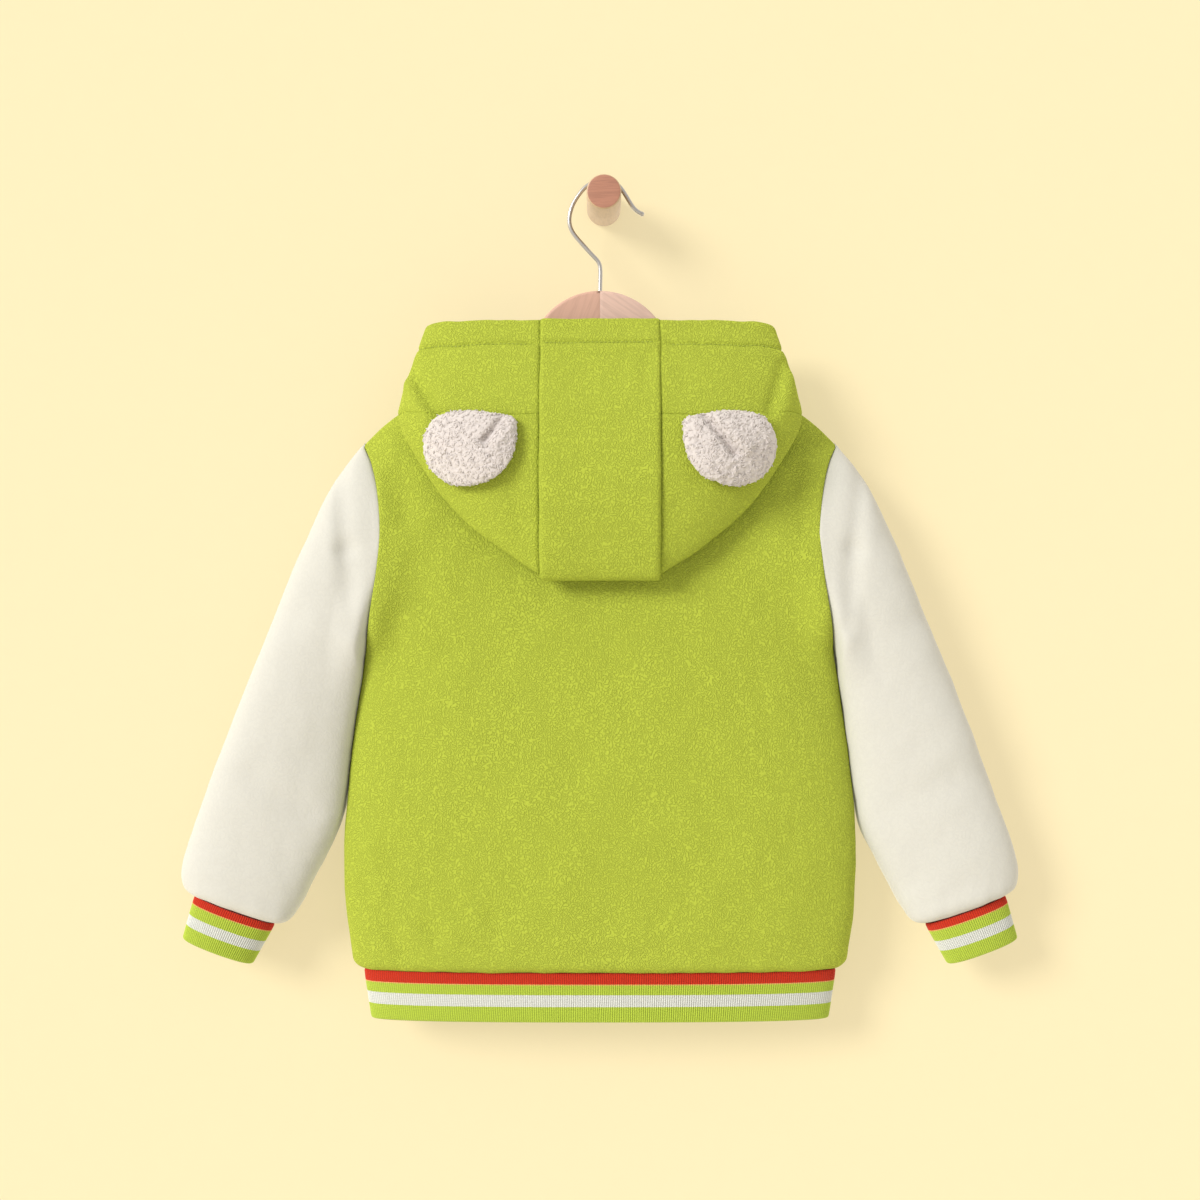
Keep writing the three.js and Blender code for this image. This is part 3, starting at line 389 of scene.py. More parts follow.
def with_lips(count, length, near=(0.35, 0.9, 1.8, 3.0)):
    """Shares from 0 to 1, with extra places at the given distances from both ends."""
    close = np.array(near) / length
    inside = np.linspace(0, 1, count + 1)
    inside = inside[(inside > close[-1] + 0.4 / count) & (inside < 1 - close[-1] - 0.4 / count)]
    return np.concatenate([[0], close, inside, 1 - close[::-1], [1]])


def lengths_along(grid, axis):
    """The way from the first row or column to each point."""
    steps = np.linalg.norm(np.diff(grid, axis=axis), axis=2)
    total = np.cumsum(steps, axis=axis)
    pad = [(1, 0) if k == axis else (0, 0) for k in range(2)]
    return np.pad(total, pad)


def way_along(points):
    """The way from the first of a line of points to each of them."""
    return np.concatenate([[0], np.cumsum(np.linalg.norm(np.diff(points, axis=0), axis=1))])


def places_at(at, way, points):
    """The places at some ways along a line of points."""
    return np.stack([np.interp(at, way, points[:, k]) for k in range(3)], -1)


def grid_normals(grid, closed=False):
    """Outward normals of a grid whose rows run down and columns run right, seen from outside."""
    wide = np.concatenate([grid[:, -1:], grid, grid[:, :1]], axis=1) if closed else grid
    down, across = np.gradient(wide, axis=0), np.gradient(wide, axis=1)
    normal = np.cross(down, across)
    normal = normal[:, 1:-1] if closed else normal
    return normal / np.maximum(np.linalg.norm(normal, axis=2, keepdims=True), 1e-9)


def mirrored(grid):
    """The grid of the other side of the jacket, with its columns the other way round."""
    return grid[:, ::-1] * MIRROR


def swapped(points, faces):
    """The same points and faces on the other side of the jacket."""
    return points * MIRROR, [face[::-1] for face in faces]


# ---- Meshes ----------------------------------------------------------------------------------


def add_object(name, data):
    made = bpy.data.objects.new(name, data)
    bpy.context.scene.collection.objects.link(made)
    return made


def make_piece(name, points, faces, finish, nodes=(), smooth_faces=True):
    """A mesh piece from points in millimetres, on the jacket and in place of its solids."""
    mesh = bpy.data.meshes.new(name)
    mesh.from_pydata((np.asarray(points) * MM).tolist(), [], [list(map(int, f)) for f in faces])
    mesh.polygons.foreach_set("use_smooth", [smooth_faces] * len(mesh.polygons))
    mesh.materials.append(finish)
    mesh.update()
    piece = add_object(name, mesh)
    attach(piece, "jacket")
    if nodes:
        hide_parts(*nodes)
    return piece


def keep_values(piece, name, values):
    """Keeps a number for each point, which a material can read."""
    layer = piece.data.attributes.new(name=name, type="FLOAT", domain="POINT")
    layer.data.foreach_set("value", np.asarray(values, float).ravel())


def quads_between(left, right):
    """The faces between columns of point numbers and the columns to their right."""
    return np.stack([left[:-1], left[1:], right[1:], right[:-1]], -1).reshape(-1, 4)


def shell_faces(rows, columns, closed):
    """The faces of a wall between an outer and an inner grid of points."""
    ids = np.arange(rows * columns).reshape(rows, columns)
    left, right = (ids, np.roll(ids, -1, 1)) if closed else (ids[:, :-1], ids[:, 1:])
    quads = quads_between(left, right)
    n = rows * columns
    parts = [quads, quads[:, ::-1] + n]
    parts.append(np.stack([left[0], right[0], right[0] + n, left[0] + n], -1))
    parts.append(np.stack([left[-1], left[-1] + n, right[-1] + n, right[-1]], -1))
    if not closed:
        a, b = ids[:, 0], ids[:, -1]
        parts.append(np.stack([a[:-1], a[:-1] + n, a[1:] + n, a[1:]], -1))
        parts.append(np.stack([b[:-1], b[1:], b[1:] + n, b[:-1] + n], -1))
    return np.concatenate(parts)


def rolled(distance, width, depth):
    """How far a rounded edge falls away at a distance from it."""
    near = np.clip(1 - distance / width, 0, 1)
    return depth * (1 - np.sqrt(1 - near**2))


# How an edge is finished: the width and depth of its rounding.
FLUSH, SEWN, DEEP = (1.2, 0.1), (1.6, 0.3), (2.0, 0.7)
FREE, GATHERED = (2.6, 1.15), (5.0, 2.0)


def reach_out(grid, by, closed):
    """The grid with its edges moved outward, so that sewn pieces meet."""
    grid = grid.copy()
    for edge, next_in in ((0, 1), (-1, -2)):
        way = grid[edge] - grid[next_in]
        grid[edge] += by * way / np.linalg.norm(way, axis=1, keepdims=True)
        if not closed:
            way = grid[:, edge] - grid[:, next_in]
            grid[:, edge] += by * way / np.linalg.norm(way, axis=1, keepdims=True)
    return grid


def sew_cloth(name, grid, finish, nodes, relief, edge_kinds, closed=False):
    """A cloth wall with rounded edges under a grid of outer points. relief gives what to raise
    its outer face by, from its points, normals and distances from its edges. Edges are sewn
    unless edge_kinds says otherwise."""
    thick = bpy.context.scene.jacket_sizes.cloth / MM
    grid = reach_out(grid, SEAM, closed)
    normals = grid_normals(grid, closed)
    down, across = lengths_along(grid, 0), lengths_along(grid, 1)
    edges = {"top": down, "bottom": down[-1:] - down}
    if not closed:
        edges.update(left=across, right=across[:, -1:] - across)
    fall = np.max([rolled(d, *edge_kinds.get(edge, SEWN)) for edge, d in edges.items()], axis=0)
    raise_by = relief(grid, normals, edges)
    outer = grid + normals * (raise_by - fall)[..., None]
    inner = grid + normals * (0.8 * np.minimum(raise_by, 0) - thick)[..., None]
    lost = np.clip(fall - 0.46 * thick, 0, None)
    inner = inner - normals * lost[..., None]
    points = np.concatenate([outer.reshape(-1, 3), inner.reshape(-1, 3)]) + HANG
    piece = make_piece(name, points, shell_faces(*grid.shape[:2], closed), finish, nodes)
    return piece, outer, normals, edges


def sweep(points, radius, sides):
    """A round wire along points, closed at both ends: its own points and faces."""
    points = np.asarray(points, float)
    way = np.gradient(points, axis=0)
    way /= np.linalg.norm(way, axis=1)[:, None]
    side = np.cross(way, np.array([0.0, 1.0, 0.0]))
    side /= np.linalg.norm(side, axis=1)[:, None]
    up = np.cross(side, way)
    angles = np.arange(sides) * 2 * math.pi / sides
    radius = np.broadcast_to(radius, (len(points),))[:, None, None]
    ring = side[:, None] * np.cos(angles)[:, None] + up[:, None] * np.sin(angles)[:, None]
    skin = points[:, None] + radius * ring
    ids = np.arange(len(points) * sides).reshape(-1, sides)
    faces = quads_between(ids, np.roll(ids, -1, 1)).tolist()
    faces += [ids[0][::-1].tolist(), ids[-1].tolist()]
    return skin.reshape(-1, 3), faces


def gather(parts):
    """Several sets of points and faces as one."""
    points, faces, start = [], [], 0
    for part_points, part_faces in parts:
        points.append(part_points)
        faces += [[start + i for i in face] for face in part_faces]
        start += len(part_points)
    return np.concatenate(points), faces


def stitch_line(name, line, normals, finish):
    """Even stitches along a line of points."""
    pitch = bpy.context.scene.jacket_sizes.stitch / MM
    way = way_along(line)
    at = np.arange(pitch, way[-1] - pitch, pitch)
    parts = []
    bow = np.linspace(-1, 1, 7)
    for middle in at:
        where = middle + 0.4 * pitch * bow
        lift = (0.35 - 0.6 * bow**2)[:, None] * places_at(where, way, normals)
        size = STITCH_RADIUS * np.sqrt(np.clip(1.04 - bow**2, 0, 1))
        parts.append(sweep(places_at(where, way, line) + lift, size, 6))
    points, faces = gather(parts)
    return make_piece(name, points + HANG, faces, finish)


# ---- Finishes --------------------------------------------------------------------------------


class Nodes:
    """A short way to place and join shader nodes."""

    def __init__(self, tree):
        self.tree = tree

    def put(self, socket, value):
        """Sets a socket, or joins it where the value is a socket too."""
        if isinstance(value, bpy.types.NodeSocket):
            self.tree.links.new(value, socket)
        else:
            socket.default_value = value

    def add(self, kind, inputs=(), **settings):
        node = self.tree.nodes.new(kind)
        for key, value in settings.items():
            setattr(node, key, value)
        for key, value in dict(inputs).items():
            self.put(node.inputs[key], value)
        return node

    def math(self, operation, a, b=0.0, c=0.0):
        return self.add("ShaderNodeMath", {0: a, 1: b, 2: c}, operation=operation).outputs[0]

    def mix(self, factor, a, b, blend="MIX"):
        inputs = {0: factor, 6: a, 7: b}
        return self.add("ShaderNodeMix", inputs, data_type="RGBA", blend_type=blend).outputs[2]

    def ramp(self, factor, stops, interpolation="LINEAR"):
        node = self.add("ShaderNodeValToRGB", {"Fac": factor})
        node.color_ramp.interpolation = interpolation
        elements = node.color_ramp.elements
        while len(elements) < len(stops):
            elements.new(0.5)
        for element, (position, value) in zip(elements, stops):
            element.position = position
            element.color = value if hasattr(value, "__len__") else (value, value, value, 1)
        return node.outputs["Color"]

    def noise(self, vector, scale, detail=2.0, roughness=0.5, distortion=0.0):
        inputs = {"Vector": vector, "Scale": scale, "Detail": detail}
        inputs.update({"Roughness": roughness, "Distortion": distortion})
        return self.add("ShaderNodeTexNoise", inputs).outputs["Fac"]


def node_group(name, sockets, build):
    """A shader node group, made once. sockets lists way, kind and name."""
    tree = bpy.data.node_groups.get(name)
    if tree:
        return tree
    tree = bpy.data.node_groups.new(name, "ShaderNodeTree")
    for way, kind, label, *default in sockets:
        socket = tree.interface.new_socket(label, in_out=way, socket_type=kind)
        if default:
            socket.default_value = default[0]
    nodes = Nodes(tree)
    given = nodes.add("NodeGroupInput").outputs
    result = nodes.add("NodeGroupOutput")
    for label, value in build(nodes, given).items():
        tree.links.new(value, result.inputs[label])
    return tree


def pile_group():
    """Short brushed pile: fine wormy dents, with painted shade that makes the tone darker in the dents, and a
    faintly mottled tone.
    """

    def build(nodes, given):
        place, scale = given["Vector"], given["Scale"]
        worms = nodes.noise(place, scale, 0.0, 0.5, 0.4)
        worms = nodes.math("ABSOLUTE", nodes.math("SUBTRACT", worms, 0.5))
        worms = nodes.math("SMOOTH_MIN", nodes.math("MULTIPLY", worms, 6.0), 1.0, 0.4)
        fuzz = nodes.noise(place, nodes.math("MULTIPLY", scale, 4.0), 0.0)
        broad = nodes.noise(place, nodes.math("MULTIPLY", scale, 0.12), 2.0, 0.6)
        height = nodes.math("MULTIPLY_ADD", fuzz, 0.2, worms)
        # Painted shade: the tone follows the height, so it is darker in the dents, with a broad random mottle on
        # top
        tone = nodes.math("MULTIPLY_ADD", nodes.math("SUBTRACT", broad, 0.5), 0.25, height)
        return {"Height": height, "Tone": tone}

    sockets = [
        ("INPUT", "NodeSocketVector", "Vector"),
        ("INPUT", "NodeSocketFloat", "Scale", 540.0),
        ("OUTPUT", "NodeSocketFloat", "Height"),
        ("OUTPUT", "NodeSocketFloat", "Tone"),
    ]
    return node_group("Brushed pile", sockets, build)


def grain_group():
    """Wood grain that runs along its vector's first axis."""

    def build(nodes, given):
        stretched = nodes.add(
            "ShaderNodeVectorMath", {0: given["Vector"], 1: (0.09, 1.0, 1.0)}, operation="MULTIPLY"
        ).outputs[0]
        wander = nodes.noise(stretched, given["Scale"], 4.0, 0.6, 0.6)
        fibre = nodes.noise(stretched, nodes.math("MULTIPLY", given["Scale"], 7.0), 3.0, 0.7)
        rings = nodes.math("SINE", nodes.math("MULTIPLY", wander, 46.0))
        rings = nodes.math("MULTIPLY_ADD", rings, 0.5, 0.5)
        tone = nodes.math("MULTIPLY_ADD", fibre, 0.6, nodes.math("MULTIPLY", rings, 0.4))
        return {"Tone": tone, "Height": fibre}

    sockets = [
        ("INPUT", "NodeSocketVector", "Vector"),
        ("INPUT", "NodeSocketFloat", "Scale", 60.0),
        ("OUTPUT", "NodeSocketFloat", "Tone"),
        ("OUTPUT", "NodeSocketFloat", "Height"),
    ]
    return node_group("Wood grain", sockets, build)


def new_finish(name):
    """A material with its nodes, its Principled shader and object coordinates."""
    material = bpy.data.materials.new(name)
    material.use_nodes = True
    nodes = Nodes(material.node_tree)
    shader = material.node_tree.nodes["Principled BSDF"]
    place = nodes.add("ShaderNodeTexCoord").outputs["Object"]
    return material, nodes, shader, place


def shade(tone, value):
    return tuple(min(1.0, c * value) for c in tone[:3]) + (1.0,)


def plug(nodes, shader, **values):
    """Sets or joins the shader's sockets by name, with _ for a space."""
    for key, value in values.items():
        nodes.put(shader.inputs[key.replace("_", " ")], value)


def bump(nodes, height, distance):
    inputs = {"Height": height, "Distance": distance, "Strength": 1.0}
    return nodes.add("ShaderNodeBump", inputs).outputs["Normal"]


def pile_finish(name, tone, scale=540.0, depth=0.00046, contrast=0.115, sheen=0.3):
    material, nodes, shader, place = new_finish(name)
    pile = nodes.add("ShaderNodeGroup", {"Vector": place, "Scale": scale}, node_tree=pile_group())
    # The ramp turns the pile's tone into the base colour: painted shade in the dents, plus a random mottle
    stops = [(0.1, shade(tone, 1 - contrast)), (0.9, shade(tone, 1 + contrast))]
    mixed = nodes.ramp(pile.outputs["Tone"], stops)
    plug(nodes, shader, Base_Color=mixed, Roughness=0.96, Specular_IOR_Level=0.15)
    plug(nodes, shader, Sheen_Weight=sheen, Sheen_Roughness=0.6, Sheen_Tint=shade(tone, 1.5))
    plug(nodes, shader, Normal=bump(nodes, pile.outputs["Height"], depth))
    return material


def rib_finish(name, stripes, colours, height):
    """Knitted rib, striped by its distance from the seam, with painted shade in the valleys between its ribs and on
    its inner wall.
    """
    material, nodes, shader, place = new_finish(name)
    course = nodes.add("ShaderNodeAttribute", attribute_name="course").outputs["Fac"]
    groove = nodes.add("ShaderNodeAttribute", attribute_name="ridge").outputs["Fac"]
    shift = nodes.math("SUBTRACT", nodes.noise(place, 900.0, 1.0), 0.5)
    shifted = nodes.math("ADD", course, nodes.math("MULTIPLY", shift, 0.5))
    level = nodes.math("DIVIDE", shifted, height)
    stops = [(b / height, colours[int(s)]) for b, s in zip(*stripes.values())]
    tone = nodes.ramp(level, stops, "CONSTANT")
    # Painted shade: the base colour is darker in the valleys between the ribs and on the inner wall, times a random
    # fuzz tone
    valley_shade_and_fuzz = nodes.math("MULTIPLY_ADD", groove, 0.42, 0.58)
    fuzz = nodes.noise(place, 1500.0, 2.0)
    valley_shade_and_fuzz = nodes.math("MULTIPLY", valley_shade_and_fuzz, nodes.math("MULTIPLY_ADD", fuzz, 0.24, 0.88))
    shade_and_fuzz_grey = nodes.add("ShaderNodeCombineColor", {0: valley_shade_and_fuzz, 1: valley_shade_and_fuzz, 2: valley_shade_and_fuzz}).outputs[0]
    shaded = nodes.mix(1.0, tone, shade_and_fuzz_grey, "MULTIPLY")
    plug(nodes, shader, Base_Color=shaded, Roughness=0.9, Specular_IOR_Level=0.2)
    plug(nodes, shader, Sheen_Weight=0.15, Sheen_Roughness=0.5)
    loops = nodes.math("SINE", nodes.math("MULTIPLY", course, 2 * math.pi / 1.3))
    raised = nodes.math("ADD", nodes.math("MULTIPLY", loops, 0.25), fuzz)
    plug(nodes, shader, Normal=bump(nodes, raised, 0.0004))
    return material


def sherpa_finish(name, tone):
    material, nodes, shader, place = new_finish(name)
    lump = nodes.add("ShaderNodeAttribute", attribute_name="curl").outputs["Fac"]
    curls = nodes.noise(place, 520.0, 3.0, 0.6, 2.2)
    # Painted shade: the colour is darker where the curls stand low and lighter on their tops, with random tone from
    # the noise
    level = nodes.math("MULTIPLY_ADD", curls, 0.5, nodes.math("MULTIPLY", lump, 0.6))
    stops = [(0.1, shade(tone, 0.92)), (0.55, shade(tone, 1.0)), (0.95, shade(tone, 1.04))]
    mixed = nodes.ramp(level, stops)
    plug(nodes, shader, Base_Color=mixed, Roughness=1.0, Specular_IOR_Level=0.1)
    plug(nodes, shader, Sheen_Weight=0.35, Sheen_Roughness=0.8)
    plug(nodes, shader, Normal=bump(nodes, curls, 0.0005))
    return material


def wood_finish(name, tone, turn=(0.0, 0.0, 0.0), scale=60.0, contrast=0.08):
    material, nodes, shader, place = new_finish(name)
    place = nodes.add("ShaderNodeMapping", {"Vector": place, "Rotation": turn}).outputs[0]
    grain = nodes.add("ShaderNodeGroup", {"Vector": place, "Scale": scale}, node_tree=grain_group())
    stops = [(0.2, shade(tone, 1 - contrast)), (0.5, shade(tone, 1.0)), (0.8, shade(tone, 1 + contrast / 2))]
    mixed = nodes.ramp(grain.outputs["Tone"], stops)
    plug(nodes, shader, Base_Color=mixed, Roughness=0.5, Coat_Weight=0.12, Coat_Roughness=0.3)
    plug(nodes, shader, Normal=bump(nodes, grain.outputs["Height"], 0.00006))
    return material


def plain_finish(name, tone, roughness, metallic=0.0, fine=400.0, depth=0.00005):
    """Moulded plastic or drawn steel, with faint wear in its gloss."""
    material, nodes, shader, place = new_finish(name)
    wear = nodes.noise(place, fine, 4.0, 0.65)
    rough = nodes.math("MULTIPLY_ADD", wear, 0.16, roughness - 0.08)
    mixed = nodes.ramp(wear, [(0.25, shade(tone, 0.93)), (0.75, shade(tone, 1.04))])
    plug(nodes, shader, Base_Color=mixed, Roughness=rough, Metallic=metallic)
    plug(nodes, shader, Normal=bump(nodes, wear, depth))
    return material


def finish(name):
    """A finish of the jacket, made when it is first asked for."""
    made = bpy.data.materials.get(name)
    if made:
        return made
    tones = bpy.context.scene.jacket_colours
    stripes = [tuple(t) for t in (tones.rib_red, tones.rib_green, tones.rib_white, tones.rib_edge)]
    makers = {
        "Lime fleece": lambda n: pile_finish(n, tones.lime),
        "Cream fleece": lambda n: pile_finish(n, tones.cream, 300.0, 0.00006, 0.015),
        "Sherpa pile": lambda n: sherpa_finish(n, tones.sherpa),
        "Hem rib": lambda n: rib_finish(n, HEM_STRIPES, stripes, HEM_HEIGHT),
        "Cuff rib": lambda n: rib_finish(n, CUFF_STRIPES, stripes, CUFF_HEIGHT),
        "Lime thread": lambda n: plain_finish(n, shade(tones.lime, 0.94), 0.7, fine=2500.0),
        "Zip plastic": lambda n: plain_finish(n, tones.zip_green, 0.4),
        "Zip tape": lambda n: pile_finish(n, shade(tones.lime, 0.8), 900.0, 0.0001, 0.12),
        "Hanger wood": lambda n: wood_finish(n, tones.hanger, (0, 1.2, 0)),
        "Pale hanger wood": lambda n: wood_finish(n, tones.hanger_pale, (0, -0.6, 0), 70.0, 0.12),
        "Peg wood": lambda n: wood_finish(n, tones.peg, (0, 0, math.pi / 2), 90.0, 0.1),
        "Peg end grain": lambda n: wood_finish(n, tones.peg_end, scale=150.0, contrast=0.16),
        "Hook steel": lambda n: plain_finish(n, tones.steel, 0.3, 1.0, 900.0, 0.00001),
    }
    return makers[name](name)


# ---- The body's shape ------------------------------------------------------------------------

half_width = curve_of(BODY, "z", "half")
back_depth = curve_of(BODY, "z", "back")
front_depth = curve_of(BODY, "z", "front")
shoulder_z = curve_of(SHOULDER, "x", "z")
back_neck_z = curve_of(BACK_NECK, "x", "z")
front_neck_z = curve_of(FRONT_NECK, "x", "z")


def fineness(share):
    """A number of cells: a share of the detail setting, and at least 8."""
    cells = bpy.context.scene.jacket_sizes.detail * 100 * share
    return max(int(cells * (1)), 8)


def armhole_depth(z, deepest):
    share = np.clip((TIP_Z - z) / (TIP_Z - UNDERARM_Z), 0, 1)
    return deepest * np.maximum(np.sin(math.pi * share), 0) ** 0.8


def body_depth(x, z, full, armhole):
    below = np.clip((shoulder_z(np.abs(x)) - z) / SHOULDER_ROUND, 0, 1)
    rise = np.sqrt(1 - (1 - below) ** 2)
    share = np.minimum(np.abs(x) / half_width(z), 1)
    side = (1 - share**SIDE_ROUND) ** (1 / SIDE_ROUND)
    edge = armhole_depth(z, armhole)
    return edge + (full * rise - edge) * side


def underarm_fill(x, z, proud=11.0):
    """How far the cloth is pushed out where body and sleeve are pressed together."""
    beside = np.clip(1 - np.abs(np.abs(x) - half_width(z)) / 30, 0, 1)
    return proud * smooth(beside) * np.exp(-(((z - UNDERARM_Z - 22) / 34) ** 2))


def back_point(x, z):
    depth = body_depth(x, z, back_depth(z), ARMHOLE_BACK) - troughs(BACK_FOLDS, x, z)
    depth = depth + underarm_fill(x, z) * smooth(depth / 4)
    return np.stack([x, MID_Y - SEAM / 2 - np.maximum(depth, 0), z], -1)


def front_point(x, z):
    depth = body_depth(x, z, front_depth(z), ARMHOLE_FRONT)
    return np.stack([x, MID_Y + SEAM / 2 + depth, z], -1)


def body_grid(shares, inner_x, neck_z, point_at, rows):
    """Rows from the shoulders down to the rib, closest together under the shoulders."""
    down = with_lips(rows, 450.0, (0.9, 2.2, 4.5, 7.5))
    down = down - 0.6 * np.sin(2 * math.pi * down) / (2 * math.pi)
    part, side = np.abs(shares)[None], np.where(shares < 0, -1.0, 1.0)[None]
    at_top = inner_x + (TIP_X - inner_x) * part
    top = np.where(at_top < NECK_X, neck_z(at_top), shoulder_z(at_top))
    z = top + (BODY_END_Z - top) * down[:, None]
    x = side * (inner_x + (half_width(z) - inner_x) * part)
    return point_at(x, z)


def blouse(distance, proud=2.0):
    """How far cloth stands out where it is gathered onto a rib."""
    return proud * np.exp(-(((distance - 9) / 8) ** 2))


def soft_cloth(grid, edges, seed, broad=42):
    """Soft unevenness of thick cloth, which settles at its seams with a low rim beside them."""
    lift = 0.6 * ripple(grid, broad, seed) + 0.2 * ripple(grid, 13, seed + 1)
    near = np.min(list(edges.values()), axis=0)
    return lift * smooth(near / 6) + 0.22 * np.exp(-(((near - 3.5) / 2.2) ** 2))


def fleece_relief(seed):
    """Soft unevenness, with puckers above the gathered bottom edge."""

    def relief(grid, normals, edges):
        low = edges["bottom"]
        soft = soft_cloth(grid, {k: d for k, d in edges.items() if k != "bottom"}, seed)
        waves = ripple(grid * np.array([1, 0.6, 0.12]), 17, seed + 2)
        return soft + blouse(low) + 0.8 * waves * np.exp(-low / 14) * smooth(low / 4)

    return relief


def wavy_end(grid, seed, rows=6, sag=1.1):
    """Lets the last rows of a grid hang a little unevenly, over a rib or at an opening."""
    wave = 0.5 + 0.5 * ripple(grid[-1] * np.array([1, 1, 0.2]), 21, seed)
    way = grid[-1] - grid[-1 - rows]
    way /= np.linalg.norm(way, axis=1)[:, None]
    for k in range(1, rows + 1):
        grid[-k] += way * (sag * wave * (1 - (k - 1) / rows))[:, None]
    return grid


# ---- Sleeves, cuffs and hem ------------------------------------------------------------------

SLEEVE_OUTER = np.stack([SLEEVE["outerX"], SLEEVE["outerY"], SLEEVE["outerZ"]], 1)
SLEEVE_INNER = np.stack([SLEEVE["innerX"], SLEEVE["innerY"], SLEEVE["innerZ"]], 1)
SLEEVE_ROWS = {"row": np.arange(float(len(SLEEVE_OUTER))), "depth": SLEEVE["depth"]}
sleeve_depth = curve_of(SLEEVE_ROWS, "row", "depth")


def oval_point(outer, inner, depth, angle, inset=0.0, inner_fullness=0.9):
    """A flattened oval section. Angle 0 is its outer point, a half turn its inner one. It is
    boxier on its inner side where inner_fullness is small."""
    middle = (outer + inner) / 2
    arm = outer - middle
    size = np.linalg.norm(arm, axis=-1, keepdims=True)
    arm = arm * (size - np.asarray(inset)[..., None]) / size
    point = middle + arm * signed_power(np.cos(angle), 0.9)[..., None]
    reach = np.where(np.sin(angle) > 0, -(depth - inset), depth * SLEEVE_FRONT - inset)
    fullness = np.where(np.cos(angle) < 0, inner_fullness, 0.9)
    point[..., 1] += reach * np.abs(np.sin(angle)) ** fullness
    return point


def armhole_point(angle):
    z = TIP_Z + (UNDERARM_Z - TIP_Z) * (1 - np.cos(angle)) / 2
    out = np.where(np.sin(angle) > 0, -armhole_depth(z, ARMHOLE_BACK), armhole_depth(z, ARMHOLE_FRONT))
    return np.stack([half_width(z) + SLEEVE_GAP, MID_Y + out, z], -1)


def sleeve_point(row, angle):
    oval = oval_point(
        spline_at(SLEEVE_OUTER, row),
        spline_at(SLEEVE_INNER, row),
        sleeve_depth(row),
        angle,
        inner_fullness=0.5,
    )
    begun = np.clip(row / 1.2, 0, 1)
    blend = (begun * (2 - begun))[:, None]
    point = armhole_point(angle) * (1 - blend) + oval * blend
    free = smooth((MID_Y - point[:, 1]) / 12) * smooth(row / 0.5)
    point[:, 1] += troughs(SLEEVE_FOLDS, point[:, 0], point[:, 2]) * free
    behind = np.maximum(MID_Y - point[:, 1], 0)
    point[:, 1] -= underarm_fill(point[:, 0], point[:, 2]) * smooth(behind / 4)
    beside = smooth(1 - (point[:, 0] - half_width(point[:, 2])) / 14) * smooth((row - 0.5) / 0.8)
    point[:, 0] -= SLEEVE_TUCK * beside * smooth((point[:, 2] + 500) / 60)
    return point


def even_places(point_at, start, end, count, fine=3000):
    """Places that divide a curve into equal lengths."""
    at = np.linspace(start, end, fine)
    way = way_along(point_at(at))
    return np.interp(np.linspace(0, way[-1], count + 1), way, at)


def sleeve_grid():
    around, rows = fineness(0.1), fineness(0.085)
    angles = even_places(lambda a: sleeve_point(np.full_like(a, 3.0), a), 0, -2 * math.pi, around)[:-1]
    down = (len(SLEEVE_OUTER) - 1) * with_lips(rows, 400.0)
    row, angle = np.meshgrid(down, angles, indexing="ij")
    grid = sleeve_point(row.ravel(), angle.ravel()).reshape(len(down), -1, 3)
    grid[0, :, 0] -= SLEEVE_TUCK
    grid[0, :, 1] -= 0.3 * np.sign(grid[0, :, 1] - MID_Y)
    return grid


def sleeve_relief(seed):
    soft = fleece_relief(seed)

    def relief(grid, normals, edges):
        outward = smooth(-normals[..., 1] * 2)
        bend = 1.1 * ripple(grid * np.array([0.7, 0.4, 1.0]), 60, seed + 5)
        bend = bend * smooth(edges["top"] / 25) * smooth(edges["bottom"] / 40) * outward
        return soft(grid, normals, edges) + bend

    return relief


def cuff_point(level, angle, inset):
    top, end = CUFF["top"], CUFF["end"]
    between = lambda key: np.array(top[key]) + (np.array(end[key]) - np.array(top[key])) * level[..., None]
    depth = top["depth"] + (end["depth"] - top["depth"]) * level
    return oval_point(between("outer"), between("inner"), depth, angle, inset)


def hem_point(level, angle, inset):
    size = {key: values[0] + (values[1] - values[0]) * level for key, values in HEM.items()}
    across = signed_power(np.cos(angle), 2 / SIDE_ROUND)
    out = np.abs(np.sin(angle)) ** (2 / SIDE_ROUND)
    depth = np.where(np.sin(angle) > 0, -(size["back"] - inset), size["front"] - inset)
    return np.stack([across * (size["half"] - inset), MID_Y + depth * out, size["z"]], -1)


